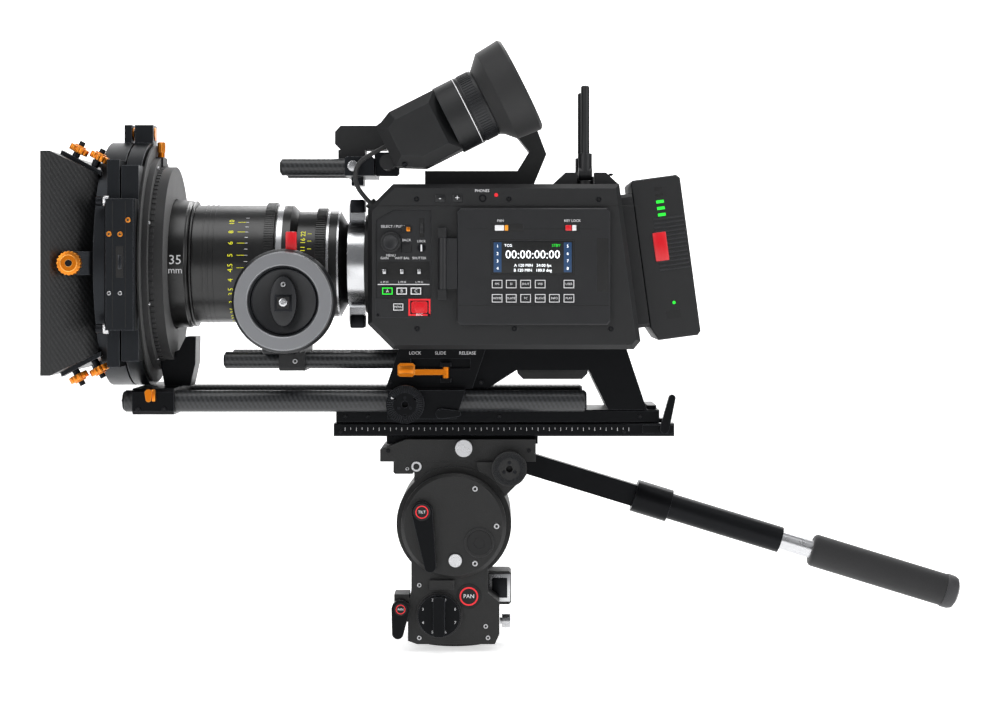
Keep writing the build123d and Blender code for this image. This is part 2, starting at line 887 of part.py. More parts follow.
def save_camera():
    save("camera_shell", camera_shell())
    save("control_panel", control_panel())
    save("panel_keys", *panel_keys())
    save("record_button", record_button())
    save("menu_dial", menu_dial())
    save("setting_toggles", *setting_toggles())
    save("sensor_module", sensor_module())
    save("monitor_door", monitor_door())
    save("door_keys", *door_keys())
    save("battery_pack", battery_pack())
    save("top_handle", top_handle())
    save("top_rod_block", top_rod_block())
    save("top_rods", *top_rods())
    save("antenna_near", antenna(-1))
    save("antenna_far", antenna(1))


# Lens


def lens_barrel():
    shape = [
        (lens_front, 0),
        (lens_front, front_radius - 1),
        (lens_front + 1, front_radius),
        (-236.7, front_radius),
        (focus_front - SLIDING, barrel_radius + 1),
        (focus_front - SLIDING, core_radius),
        (focus_gear_rear + SLIDING, core_radius),
        (focus_gear_rear + SLIDING, barrel_radius),
        (-144.5, barrel_radius),
        (iris_front - SLIDING, iris_radius),
        (iris_front - SLIDING, core_radius - 4),
        (iris_rear + SLIDING, core_radius - 4),
        (iris_rear + SLIDING, rear_radius),
        (-102.4, rear_radius),
        (mount_front - SLIDING, 34.0),
        (mount_front - SLIDING, mount_radius),
        (camera_front + 4, mount_radius),
        (camera_front + 4, 0),
    ]
    barrel = turned(shape, 0, optical_height)
    cup_outline = [(-1, 0), (-1, 50), (6, 48), (16, 44), (16, 0)]
    cup = turned([(lens_front + along, radius) for along, radius in cup_outline], 0, optical_height)
    barrel -= cup
    rear_bore = rod_x(20.0, (mount_front - 30, camera_front + 5), 0, optical_height)
    return barrel - rear_bore


def lens_glass():
    """The front element: a dome on a flat back, seated at the bottom of the front cup."""
    radius = 43.5
    rise = 7.0
    sphere_radius = (radius * radius + rise * rise) / (2 * rise)
    back = lens_front + 16
    dome = Pos(back - rise + sphere_radius, 0, optical_height) * Sphere(sphere_radius)
    return dome & rod_x(radius, (back - rise - 1, back), 0, optical_height)


def focus_ring():
    shape = [
        (focus_front, core_radius + RUNNING),
        (focus_front, barrel_radius),
        (focus_gear_front, barrel_radius),
        (focus_gear_front, gear_radius),
        (focus_gear_rear, gear_radius),
        (focus_gear_rear, core_radius + RUNNING),
    ]
    return turned(shape, 0, optical_height)


def iris_ring():
    shape = [
        (iris_front, core_radius - 4 + RUNNING),
        (iris_front, iris_radius),
        (iris_rear - 9, iris_radius),
        (iris_rear - 9, iris_gear_radius),
        (iris_rear, iris_gear_radius),
        (iris_rear, core_radius - 4 + RUNNING),
    ]
    return turned(shape, 0, optical_height)


def lens_lock_ring():
    front = mount_front
    rear = camera_front - 5 - SLIDING
    ring = ring_x(lock_radius, mount_radius + RUNNING, (front, rear), 0, optical_height)
    for side in (1, -1):
        tab = block((front, rear - 1), (-9, 9), (lock_radius - 2, lock_radius + 14))
        tab = chamfer(tab.edges().filter_by(Axis.X).group_by(Axis.Z)[-1], 4)
        tab = Pos(0, 0, optical_height) * Rot(0 if side > 0 else 180, 0, 0) * tab
        ring += tab
    return ring


# Follow focus on the light rods

wheel_x = -144.3
wheel_z = 306.6
drive_y = -45.0
drive_z = 279.0
drive_radius = 19.6


def focus_gearbox():
    box = block((-156, -131.5), (-92, -58), (262, 323))
    box = fillet(box.edges().filter_by(Axis.Y).group_by(Axis.Z)[-1], 8)
    box += block((-156, -131.5), (-59, 42), (262, 292 - 6))
    box -= rod_x(barrel_radius + 4, (-200, -100), 0, optical_height)
    clamp = block((-154.3, -131.5), (-42, 42), (244.5, 262.5))
    clamp = chamfer(clamp.edges().filter_by(Axis.X).group_by(Axis.Z)[0], 3)
    box += clamp
    for side in (-1, 1):
        box -= rod_x(light_rod_radius, (-200, -100), side * light_rod_spacing / 2, light_rod_height)
    box -= rod_y(5.0 + RUNNING, (-100, -66), wheel_x, wheel_z)
    box -= rod_x(4.0 + RUNNING, (-160, -138), drive_y, drive_z)
    pointer = block((-140.6, -137.0), (-92, -89), (318, 352))
    pointer += block((-143.4, -134.3), (-93, -88.5), (348, 366))
    return box + pointer


def focus_wheel():
    wheel = rod_y(44.3, (-104, -96), wheel_x, wheel_z)
    wheel += rod_y(42.3, (-110, -104), wheel_x, wheel_z) - rod_y(30.4, (-111, -104), wheel_x, wheel_z)
    wheel = chamfer(wheel.edges().filter_by(GeomType.CIRCLE).group_by(Axis.Y)[0], 1)
    boss = extrude(Plane.XZ * Ellipse(11.7, 21.6), 3, dir=(0, -1, 0))
    wheel += Pos(wheel_x, -104, wheel_z) * boss
    socket = block((wheel_x - 5, wheel_x + 5), (-112, -104), (wheel_z - 5, wheel_z + 5))
    wheel -= socket
    return wheel + rod_y(5.0, (-96, -66), wheel_x, wheel_z)


def focus_gear():
    gear = rod_x(drive_radius, (focus_gear_front, focus_gear_rear), drive_y, drive_z)
    return gear + rod_x(4.0, (focus_gear_rear, -138.5), drive_y, drive_z)


def save_lens():
    save("lens_barrel", lens_barrel())
    save("lens_glass", lens_glass())
    save("focus_ring", focus_ring())
    save("iris_ring", iris_ring())
    save("lens_lock_ring", lens_lock_ring())
    save("focus_gearbox", focus_gearbox())
    save("focus_wheel", focus_wheel())
    save("focus_gear", focus_gear())


# Matte box


def rectangle_at(x, half_depth, half_height):
    """A rectangle across X, centred on the optical axis."""
    upright = Plane(origin=(x, 0, optical_height), x_dir=(0, 1, 0), z_dir=(1, 0, 0))
    return upright * Rectangle(2 * half_depth, 2 * half_height)


def hood():
    lip = hood_front + hood_lip
    rear_depth = hood_rear_depth
    rear_height = hood_rear_height
    outer = block((hood_front, lip), around(0, 2 * hood_half_depth), around(optical_height, 2 * hood_half_height))
    mouth = rectangle_at(lip, hood_half_depth, hood_half_height)
    outer += loft([mouth, rectangle_at(hood_rear, rear_depth, rear_height)])
    wall = hood_wall
    inner = block(
        (hood_front - 1, lip),
        (-hood_half_depth + wall, hood_half_depth - wall),
        (optical_height - hood_half_height + wall, optical_height + hood_half_height - wall),
    )
    inner += loft(
        [rectangle_at(lip, hood_half_depth - wall, hood_half_height - wall), rectangle_at(hood_rear, rear_depth - 2 * wall, rear_height - 2 * wall)]
    )
    return outer - inner


def hood_arms():
    """Arms that lie on the hood, carry its knobs and join it to the stages."""
    fall = (hood_half_height - hood_rear_height) / (hood_rear - hood_front - hood_lip)
    front = -339.0
    inner_front = hood_half_height - (front - hood_front - hood_lip) * fall + 0.1
    inner_rear = hood_rear_height + 0.1 - 2 * fall
    outline = [
        (front, inner_front),
        (front + 1, inner_front + 4 - fall),
        (hood_rear + 2, inner_rear + 4),
        (hood_rear + 2, inner_rear),
    ]
    arms = []
    for turn in (0, 180):
        for side in (-1, 1):
            arm = side_plate(outline, (side * knob_y - 8, side * knob_y + 8))
            arms.append(Pos(0, 0, optical_height) * Rot(turn, 0, 0) * arm)
    side_outline = [(-330, 109.5), (-330, 112.5), (-318, 112.5), (-299, 98), (-294, 98), (-294, 92), (-304, 88)]
    face = make_face(Polyline(*side_outline, close=True))
    side_arm = Pos(0, 0, optical_height - 10) * extrude(face, 20, dir=(0, 0, 1))
    return arms + [side_arm, mirror(side_arm, Plane.XZ)]


def filter_stages():
    """Both filter stages: a rectangle joined with a disc, with the filter window through it."""
    window = block((-320, -260), around(0, stage_opening_depth), around(optical_height, stage_opening_height))
    wide = around(0, 2 * stage_half_depth)
    front = block((-296.4, -285.7), wide, around(optical_height, 2 * stage_half_height))
    rear = block((-284.1, -269.3), wide, around(optical_height, 2 * stage_half_height - 10))
    stages = front + rear
    stages += rod_x(stage_radius, (hood_rear, -286), 0, optical_height)
    stages += rod_x(stage_radius, (-284.4, -271), 0, optical_height)
    stages += rod_x(stage_radius - 4, (-287, -284), 0, optical_height)
    for side in (-1, 1):
        cover = block((-296.1, -269.8), around(side * 102, 19), (optical_height - 57, optical_height + 55))
        stages += chamfer(cover.edges().filter_by(Axis.Z), 1.5)
    for x in ((-295.6, -289.0), (-286.4, -270.0)):
        stages += block(x, (-11, 11), (optical_height + stage_radius - 3, optical_height + stage_radius + 15.6))
    for arm in hood_arms():
        stages += arm
    return stages - window


def rear_ring():
    ring = ring_x(106.0, 62.0, (-269.3, -267.6), 0, optical_height)
    ring += ring_x(95.0, 62.0, (-267.6, -262.5), 0, optical_height)
    ring += ring_x(donut_radius, front_radius + 1.0, (-262.5, -250.2), 0, optical_height)
    ring += block((-270.0, -260.7), (-12, 12), (optical_height + 84, optical_height + 95.4))
    ring -= rod_z(2.5 + RUNNING, (optical_height + 86, optical_height + 97), -264.2, 0)
    return ring


def ring_lock_screw():
    top = optical_height + 95.4 + SLIDING
    head = rod_z(3.1, (top, top + 13.7), -264.2, 0)
    return head + rod_z(2.5, (optical_height + 86 + SLIDING, top), -264.2, 0)


def matte_bracket():
    """The clamp on the studio rods and the curved arm up to the rear ring."""
    depth = (-66, 66)
    clamp = block((-279.7, -243.4), depth, (207.4, 230.0))
    clamp = chamfer(clamp.edges().filter_by(Axis.X), 3)
    for side in (-1, 1):
        clamp -= rod_x(studio_rod_radius, (-300, -200), side * studio_rod_spacing / 2, studio_rod_height)
    clamp -= rod_y(2.0 + RUNNING, (-70, -60), -264.8, 226.5)
    arm_outline = [
        (-259, 230),
        (-236, 230),
        (-231.5, 250),
        (-231, 274),
        (-240, 274),
        (-246, 262),
        (-262.4, 256),
        (-262.4, 250),
    ]
    arm = side_plate(arm_outline, (-16, 16))
    arm -= rod_x(donut_radius, (-262.5, -250.0), 0, optical_height)
    return clamp + arm


def rod_clamp_lever():
    pivot = rod_y(2.0, (-66.3, -60.5), -264.8, 226.5)
    blade = lever((-264.8, 226.5), (-264.8, 221.0), 3.2, 2.4, (-71, -66.3))
    return pivot + blade


def knurled_knob(radius, height, neck, stud):
    """A knob about Z on a neck, with its stud showing above it."""
    knob = rod_z(radius, (neck, neck + height), 0, 0)
    knob = chamfer(knob.edges().filter_by(GeomType.CIRCLE), 0.8)
    return knob + rod_z(3.2, (0, neck), 0, 0) + rod_z(3.2, (neck + height, neck + height + stud), 0, 0)


def hood_knobs():
    fall = (hood_half_height - hood_rear_height) / (hood_rear - hood_front - hood_lip)
    slope = degrees(atan(fall))
    knobs = []
    for turn in (0, 180):
        for side in (-1, 1):
            for x, neck in ((-327.5, 4.0), (-311.0, 6.5)):
                surface = hood_half_height - (x - hood_front - hood_lip) * fall + 4.1
                knob = Pos(x, side * knob_y, surface) * Rot(0, slope, 0) * knurled_knob(8.5, 5.5, neck, 5.0)
                knobs.append(Pos(0, 0, optical_height) * Rot(turn, 0, 0) * knob)
    for side in (-1, 1):
        knob = Rot(-90 * side, 0, 0) * knurled_knob(10.5, 7.0, 1.0, 1.0)
        knobs.append(Pos(-324.5, side * 112.5, optical_height) * knob)
    return knobs


# Eyepiece


def along_eyepiece(solid):
    """Places a solid drawn along X about the eyepiece's own axis."""
    return Pos(eyepiece_x, eyepiece_y, eyepiece_z) * Rot(0, -eyepiece_tilt, 0) * solid


pivot_x = -58.0
pivot_z = 428.0


def eyepiece_body():
    outline = [
        (-92, -16),
        (-92, 21),
        (-76, eyepiece_radius),
        (-33, eyepiece_radius),
        (-33, -eyepiece_radius),
        (-69, -eyepiece_radius),
    ]
    body = side_plate(outline, (-eyepiece_radius, eyepiece_radius))
    body = chamfer(body.faces().sort_by(Axis.Y)[0].edges(), 9)
    body = chamfer(body.faces().sort_by(Axis.Y)[-1].edges(), 9)
    body += rod_x(31.0, (-33.5, -12.5), 0, 0)
    body += rod_x(27.0, (-13, 16), 0, 0)
    body -= rod_x(21.0, (-24, 17), 0, 0)
    body = along_eyepiece(body)
    inside = eyepiece_y + eyepiece_radius
    hub = rod_y(7.0, (eyepiece_y, inside + 0.8), pivot_x, pivot_z)
    return body + hub + rod_y(3.0, (inside, inside + 9), pivot_x, pivot_z)


def dioptre_ring():
    return along_eyepiece(ring_x(30.6, 27.0 + RUNNING, (-12.2, 2.4)))


def eyecup():
    shape = [
        (2.7, 27.0),
        (2.7, 29.5),
        (14.0, 41.5),
        (36.0, 43.5),
        (38.3, 41.5),
        (36.0, 40.0),
        (17.0, 38.0),
        (10.0, 30.0),
        (16.0, 27.0),
    ]
    return along_eyepiece(turned(shape))


def eyepiece_bracket():
    """The plate beside the eyepiece that holds its pivot, joined to the rod block."""
    inside = eyepiece_y + eyepiece_radius
    arm = block((-71.0, -49.0), (inside + 1.1, inside + 10), (417, 438))
    arm = chamfer(arm.edges().filter_by(Axis.Y), 2)
    return arm - rod_y(3.0 + RUNNING, (inside, inside + 11), pivot_x, pivot_z)


# The eyepiece's cable, from its front face to the socket on the camera's front chamfer
cable_radius = 2.0
cable_route = [
    (-58.9, -57.0, 441.6),
    (-74.5, -58.0, 433.7),
    (-84.5, -59.0, 425.5),
    (-86.5, -58.0, 413.0),
    (-82.2, -57.0, 401.5),
    (-73.3, -57.0, 392.6),
]


def corner_radii(points):
    """The largest arc that each corner's two runs allow."""
    radii = []
    for before, here, after in zip(points, points[1:], points[2:]):
        first = Vector(*here) - Vector(*before)
        second = Vector(*after) - Vector(*here)
        half_turn = radians(first.get_angle(second) / 2)
        radii.append(0.45 * min(first.length, second.length) / tan(half_turn))
    return radii


def eyepiece_cable():
    radii = corner_radii(cable_route)
    path = FilletPolyline(*cable_route, radius=radii)
    start = Plane(origin=path @ 0, z_dir=path % 0)
    print("cable radii", [round(radius, 1) for radius in radii], "length", round(path.length, 1))
    cable = sweep(start * Circle(cable_radius), path=path)
    return cable - eyepiece_body() - camera_shell()


def save_front():
    save("hood", hood())
    save("filter_stages", filter_stages())
    save("rear_ring", rear_ring())
    save("ring_lock_screw", ring_lock_screw())
    save("matte_bracket", matte_bracket())
    save("rod_clamp_lever", rod_clamp_lever())
    save("hood_knobs", *hood_knobs())
    save("eyepiece_body", eyepiece_body())
    save("dioptre_ring", dioptre_ring())
    save("eyecup", eyecup())
    save("eyepiece_cable", eyepiece_cable())


os.makedirs("parts", exist_ok=True)
save_head()
save_base()
save_camera()
save_lens()
save_front()
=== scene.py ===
"""Cinema camera rig on a fluid head: finishes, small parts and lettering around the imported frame.

Shapes are drawn in millimetres and placed in metres. The lens looks along -X and the operator's
side is -Y. Each piece rides on one body of the frame.
"""

from math import cos, pi, radians, sin

import bmesh
import bpy
from mathutils import Matrix, Vector


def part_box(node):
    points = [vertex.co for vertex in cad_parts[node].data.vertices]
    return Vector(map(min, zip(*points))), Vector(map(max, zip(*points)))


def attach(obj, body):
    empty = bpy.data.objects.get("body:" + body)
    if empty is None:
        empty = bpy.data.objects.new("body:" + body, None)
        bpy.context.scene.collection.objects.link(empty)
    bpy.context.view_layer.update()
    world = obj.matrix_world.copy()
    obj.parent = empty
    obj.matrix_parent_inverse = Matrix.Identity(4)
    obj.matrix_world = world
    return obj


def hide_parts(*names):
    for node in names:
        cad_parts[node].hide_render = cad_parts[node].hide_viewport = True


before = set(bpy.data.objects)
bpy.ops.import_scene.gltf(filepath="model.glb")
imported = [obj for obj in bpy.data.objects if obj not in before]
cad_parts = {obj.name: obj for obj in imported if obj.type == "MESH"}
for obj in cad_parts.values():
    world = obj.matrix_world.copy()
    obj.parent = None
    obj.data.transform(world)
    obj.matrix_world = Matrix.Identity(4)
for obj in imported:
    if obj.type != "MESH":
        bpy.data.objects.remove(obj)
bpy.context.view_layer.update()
MM = 0.001
SHARP_EDGE = radians(30)
RIM_EDGE = radians(80)
SHADING_SPLIT = radians(35)
LETTER_RATIO = 1.38
LINE_RELIEF = 0.12


# Shapes


def linear(hex_colour):
    """An sRGB hex colour as linear RGBA."""
    channels = []
    for start in (0, 2, 4):
        value = int(hex_colour[start:start + 2], 16) / 255
        channels.append(value / 12.92 if value <= 0.04045 else ((value + 0.055) / 1.055) ** 2.4)
    return (*channels, 1.0)


def placed(shape, location=(0, 0, 0), turn=(0, 0, 0), scale=1.0):
    """Moves a shape: turned in degrees about X, then Y, then Z, then shifted, in millimetres."""
    matrix = Matrix.Translation(location)
    for angle, axis in ((turn[2], "Z"), (turn[1], "Y"), (turn[0], "X")):
        matrix = matrix @ Matrix.Rotation(radians(angle), 4, axis)
    matrix = matrix @ Matrix.Scale(scale, 4)
    bmesh.ops.transform(shape, matrix=matrix, verts=shape.verts)
    return shape


def rounded(shape, width, segments=2):
    """Rounds every sharp edge of a closed shape."""
    edges = [edge for edge in shape.edges if edge.is_manifold and edge.calc_face_angle(0) > SHARP_EDGE]
    if width > 0 and edges:
        bmesh.ops.bevel(shape, geom=edges, offset=width, offset_type="OFFSET", segments=segments,
                        profile=0.5, affect="EDGES", clamp_overlap=True, material=-1)
    return shape


def box_shape(x, y, z, bevel=0.4):
    """A box between three pairs of limits, with rounded edges."""
    shape = bmesh.new()
    bmesh.ops.create_cube(shape, size=1.0)
    size = Matrix.Diagonal((x[1] - x[0], y[1] - y[0], z[1] - z[0], 1))
    centre = Matrix.Translation(((x[0] + x[1]) / 2, (y[0] + y[1]) / 2, (z[0] + z[1]) / 2))
    bmesh.ops.transform(shape, matrix=centre @ size, verts=shape.verts)
    return rounded(shape, bevel)


def turned_shape(profile, steps=64, closed=False):
    """A turned part about the X axis; each point is a place along X and a radius."""
    shape = bmesh.new()
    verts = [shape.verts.new((along, 0, radius)) for along, radius in profile]
    ends = verts + [verts[0]] if closed else verts
    edges = [shape.edges.new(pair) for pair in zip(ends, ends[1:])]
    bmesh.ops.spin(shape, geom=verts + edges, cent=(0, 0, 0), axis=(1, 0, 0), angle=2 * pi,
                   steps=steps, use_merge=True)
    bmesh.ops.remove_doubles(shape, verts=shape.verts, dist=0.001)
    bmesh.ops.recalc_face_normals(shape, faces=shape.faces)
    return shape


def disc_shape(radius, height, bevel=0.4, steps=48):
    """A round disc along X from 0 to its height, with its rims softened."""
    profile = [(0, 0), (0, radius - bevel), (bevel, radius), (height - bevel, radius),
               (height, radius - bevel), (height, 0)]
    return turned_shape(profile, steps)


def thickened(shape, faces, depth):
    """Flat faces made into a solid by a depth along Y."""
    grown = bmesh.ops.extrude_face_region(shape, geom=faces)
    moved = [item for item in grown["geom"] if isinstance(item, bmesh.types.BMVert)]
    bmesh.ops.translate(shape, vec=(0, depth, 0), verts=moved)
    bmesh.ops.recalc_face_normals(shape, faces=shape.faces)
    return shape


def plate_shape(outline, depth, bevel=0.4):
    """A flat plate with an outline in X and Z, from Y = 0 towards +Y."""
    shape = bmesh.new()
    face = shape.faces.new([shape.verts.new((x, 0, z)) for x, z in outline])
    return rounded(thickened(shape, [face], depth), bevel)


def fluted_shape(radius, height, flutes, depth, bevel=0.5):
    """A knob along X whose rim has round scallops."""
    points = []
    for step in range(flutes * 6):
        angle = 2 * pi * step / (flutes * 6)
        swell = radius - depth * (0.5 - 0.5 * cos(flutes * angle)) ** 2
        points.append((swell * cos(angle), swell * sin(angle)))
    shape = plate_shape(points, height, 0)
    rims = [edge for edge in shape.edges if edge.calc_face_angle(0) > RIM_EDGE]
    bmesh.ops.bevel(shape, geom=rims, offset=bevel, segments=2, profile=0.5, affect="EDGES", material=-1)
    return placed(shape, turn=(0, 0, -90))


def outline_frame(width, height, line):
    """A flat rectangular line in X and Z around a key, raised a little towards -Y."""
    shape = bmesh.new()
    x, z = width / 2, height / 2
    corners = [(-x, -z), (x, -z), (x, z), (-x, z)]
    face = shape.faces.new([shape.verts.new((x, 0, z)) for x, z in corners])
    shape.normal_update()
    inner = bmesh.ops.inset_region(shape, faces=[face], thickness=line, use_boundary=True,
                                   use_even_offset=True)
    bmesh.ops.delete(shape, geom=[face], context="FACES")
    return thickened(shape, inner["faces"], -LINE_RELIEF)


def words_shape(words, height, thickness=0.08):
    """Lettering centred on the origin that faces -Y."""
    curve = bpy.data.curves.new("lettering", "FONT")
    curve.body = words
    curve.size = height * LETTER_RATIO
    curve.align_x = "CENTER"
    curve.align_y = "CENTER"
    curve.extrude = thickness
    curve.resolution_u = 2
    holder = bpy.data.objects.new("lettering", curve)
    mesh = bpy.data.meshes.new_from_object(holder)
    shape = bmesh.new()
    shape.from_mesh(mesh)
    bpy.data.objects.remove(holder)
    bpy.data.meshes.remove(mesh)
    bpy.data.curves.remove(curve)
    return placed(shape, turn=(90, 0, 0))


class Piece:
    """One visible piece: shapes are added with their material, then it rides on a body."""

    def __init__(self, name, body):
        self.name = name
        self.body = body
        self.whole = bmesh.new()
        self.materials = []

    def add(self, shape, material, location=(0, 0, 0), turn=(0, 0, 0)):
        if material not in self.materials:
            self.materials.append(material)
        placed(shape, location, turn)
        for face in shape.faces:
            face.material_index = self.materials.index(material)
            face.smooth = True
        carried = bpy.data.meshes.new("carried")
        shape.to_mesh(carried)
        shape.free()
        self.whole.from_mesh(carried)
        bpy.data.meshes.remove(carried)

    def done(self, *nodes):
        """Makes the object, in metres, and lets it stand for the named nodes if there are any."""
        bmesh.ops.scale(self.whole, vec=(MM, MM, MM), verts=self.whole.verts)
        mesh = bpy.data.meshes.new(self.name)
        self.whole.to_mesh(mesh)
        self.whole.free()
        mesh.set_sharp_from_angle(angle=SHADING_SPLIT)
        for material in self.materials:
            mesh.materials.append(material)
        piece = bpy.data.objects.new(self.name, mesh)
        bpy.context.scene.collection.objects.link(piece)
        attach(piece, self.body)
        if nodes:
            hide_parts(*nodes)
        return piece


# Finishes

TEXTURE_DEPTH = 0.0003
HALF_UPRIGHT = 0.71
CROSS_RIB = 0.35


def new_material(name):
    material = bpy.data.materials.new(name)
    material.use_nodes = True
    material.node_tree.nodes.clear()
    output = material.node_tree.nodes.new("ShaderNodeOutputMaterial")
    shader = material.node_tree.nodes.new("ShaderNodeBsdfPrincipled")
    material.node_tree.links.new(shader.outputs[0], output.inputs["Surface"])
    return material, shader


def add(material, kind, settings=None, links=None):
    """Adds a node with its settings, and links: socket to another node or to one of its outputs."""
    tree = material.node_tree
    node = tree.nodes.new(kind)
    for key, value in (settings or {}).items():
        if isinstance(key, str) and hasattr(node, key):
            setattr(node, key, value)
        else:
            node.inputs[key].default_value = value
    for socket, source in (links or {}).items():
        output = source if isinstance(source, bpy.types.NodeSocket) else source.outputs[0]
        tree.links.new(output, node.inputs[socket])
    return node


def finish(material, shader, colour=None, roughness=None, normal=None):
    """Links what is given to the shader, and hands the material back."""
    for socket, source in (("Base Color", colour), ("Roughness", roughness), ("Normal", normal)):
        if source is not None:
            output = source if isinstance(source, bpy.types.NodeSocket) else source.outputs[0]
            material.node_tree.links.new(output, shader.inputs[socket])
    return material


def rounded_normal(material, radius_mm):
    """The surface's direction with its edges rounded."""
    return add(material, "ShaderNodeBevel", {"samples": 4, "Radius": radius_mm * MM})


def soft_edges(material, radius_mm, height, strength):
    """Rounded edges with a surface texture on top of them."""
    edges = rounded_normal(material, radius_mm)
    settings = {"Strength": strength, "Distance": TEXTURE_DEPTH}
    return add(material, "ShaderNodeBump", settings, {"Height": height, "Normal": edges})


def edge_mask_wear_and_highlight(material, radius_mm, low=0.9, high=0.995):
    """1 on flats and 0 along edges, from how far the rounded normal leans from the flat one. The edges take
    a lighter colour: wear with a painted edge highlight.
    """
    flat = add(material, "ShaderNodeNewGeometry")
    lean = add(material, "ShaderNodeVectorMath", {"operation": "DOT_PRODUCT"},
               {0: rounded_normal(material, radius_mm), 1: flat.outputs["True Normal"]})
    limits = {"From Min": low, "From Max": high}
    return add(material, "ShaderNodeMapRange", limits, {"Value": lean.outputs["Value"]})


def between(material, amount, low, high):
    """A value between two limits by an amount."""
    return add(material, "ShaderNodeMapRange", {"To Min": low, "To Max": high}, {"Value": amount})


def mixed(material, amount, first, second):
    """A colour between two hex colours by an amount."""
    mix = add(material, "ShaderNodeMix", {"data_type": "RGBA"}, {0: amount})
    mix.inputs[6].default_value = linear(first)
    mix.inputs[7].default_value = linear(second)
    return mix.outputs[2]


def object_noise(material, size_mm, detail=3.0, roughness=0.5):
    """Noise whose blotches are about the given size."""
    where = add(material, "ShaderNodeTexCoord")
    settings = {"Scale": 1000.0 / size_mm, "Detail": detail, "Roughness": roughness}
    return add(material, "ShaderNodeTexNoise", settings, {"Vector": where.outputs["Object"]})


def anodised(name, colour, worn_highlit_colour, roughness, edge=0.35):
    """Bead-blasted, anodised aluminium: a satin dyed skin that is lighter along its edges, from wear and a
    painted edge highlight.
    """
    material, shader = new_material(name)
    shader.inputs["Metallic"].default_value = 0.85
    grain = object_noise(material, 0.5, 4.0)
    patches = object_noise(material, 18.0, 3.0)
    flats = edge_mask_wear_and_highlight(material, 0.5)
    rough = between(material, patches, roughness - 0.05, roughness + 0.07)
    # The edges take the lighter colour: wear with a painted edge highlight.
    return finish(material, shader, mixed(material, flats, worn_highlit_colour, colour), rough,
                  soft_edges(material, edge, grain, 0.12))


def moulded(name, colour, worn_highlit_colour, roughness, grain_mm=0.7, strength=0.2, edge=0.5):
    """Injection-moulded polymer: an even fine grain, gloss that varies in patches, and a lighter colour
    along its edges from wear and a painted edge highlight.
    """
    material, shader = new_material(name)
    shader.inputs["IOR"].default_value = 1.5
    grain = object_noise(material, grain_mm, 2.0)
    patches = object_noise(material, 30.0, 4.0)
    flats = edge_mask_wear_and_highlight(material, edge)
    rough = between(material, patches, roughness - 0.08, roughness + 0.08)
    # The edges take the lighter colour: wear with a painted edge highlight.
    return finish(material, shader, mixed(material, flats, worn_highlit_colour, colour), rough,
                  soft_edges(material, edge, grain, strength))


def cast_paint(name, colour, worn_highlit_colour):
    """Cast magnesium under a crackle coat: lumps near a millimetre across, lighter at the corners from wear
    and a painted edge highlight.
    """
    material, shader = new_material(name)
    shader.inputs["IOR"].default_value = 1.5
    lumps = object_noise(material, 1.3, 6.0, 0.7)
    flats = edge_mask_wear_and_highlight(material, 0.8, 0.8, 0.99)
    rough = between(material, lumps, 0.38, 0.62)
    # The corners take the lighter colour: wear with a painted edge highlight.
    return finish(material, shader, mixed(material, flats, worn_highlit_colour, colour), rough,
                  soft_edges(material, 0.7, lumps, 0.75))


def carbon_twill(name, tow_mm, low, high):
    """Twill-woven carbon fibre under satin lacquer: diagonal ribs one tow wide that catch the light."""
    material, shader = new_material(name)
    shader.inputs["IOR"].default_value = 1.5
    shader.inputs["Coat Weight"].default_value = 0.25
    shader.inputs["Coat Roughness"].default_value = 0.25
    where = add(material, "ShaderNodeTexCoord")
    parts = add(material, "ShaderNodeSeparateXYZ", None, {0: where.outputs["Object"]})
    normal = add(material, "ShaderNodeSeparateXYZ", None, {0: where.outputs["Normal"]})
    steep = add(material, "ShaderNodeMath", {"operation": "ABSOLUTE"}, {0: normal.outputs["Z"]})
    upward = add(material, "ShaderNodeMath", {"operation": "GREATER_THAN", 1: HALF_UPRIGHT}, {0: steep})
    across = add(material, "ShaderNodeMix", {"data_type": "FLOAT"}, {0: upward})
    material.node_tree.links.new(parts.outputs["Z"], across.inputs[2])
    material.node_tree.links.new(parts.outputs["Y"], across.inputs[3])
    pitch = 2 * pi / (tow_mm * MM)
    waves = []
    for share in (0.55, -1.0):
        slant = add(material, "ShaderNodeMath", {"operation": "MULTIPLY", 1: share}, {0: across.outputs[0]})
        along = add(material, "ShaderNodeMath", {"operation": "ADD"}, {0: parts.outputs["X"], 1: slant})
        turns = add(material, "ShaderNodeMath", {"operation": "MULTIPLY", 1: pitch}, {0: along})
        waves.append(add(material, "ShaderNodeMath", {"operation": "SINE"}, {0: turns}))
    finer = add(material, "ShaderNodeMath", {"operation": "MULTIPLY", 1: CROSS_RIB}, {0: waves[1]})
    weave = add(material, "ShaderNodeMath", {"operation": "ADD"}, {0: waves[0], 1: finer})
    swing = 1.0 + CROSS_RIB
    rib = add(material, "ShaderNodeMapRange", {"From Min": -swing, "From Max": swing}, {"Value": weave})
    rough = between(material, rib, 0.34, 0.55)
    return finish(material, shader, mixed(material, rib, low, high), rough,
                  soft_edges(material, 0.4, rib, 0.35))


def rubber(name, colour, roughness, grain_mm):
    """Matt vulcanised rubber or closed-cell foam: a soft skin with a fine even pore."""
    material, shader = new_material(name)
    shader.inputs["IOR"].default_value = 1.52
    shader.inputs["Sheen Weight"].default_value = 0.15
    shader.inputs["Sheen Roughness"].default_value = 0.5
    pores = object_noise(material, grain_mm, 4.0, 0.6)
    dust = object_noise(material, 25.0, 3.0)
    rough = between(material, dust, roughness - 0.06, roughness + 0.08)
    return finish(material, shader, mixed(material, pores, *colour), rough,
                  soft_edges(material, 0.6, pores, 0.3))


def turned_steel(name, colour, roughness):
    """Turned steel: bare bright or oxide-blacked metal with a very fine grain and faint stains."""
    material, shader = new_material(name)
    shader.inputs["Metallic"].default_value = 1.0
    streaks = object_noise(material, 0.4, 2.0)
    stains = object_noise(material, 9.0, 4.0)
    rough = between(material, stains, roughness - 0.06, roughness + 0.1)
    return finish(material, shader, mixed(material, streaks, *colour), rough,
                  soft_edges(material, 0.25, streaks, 0.08))


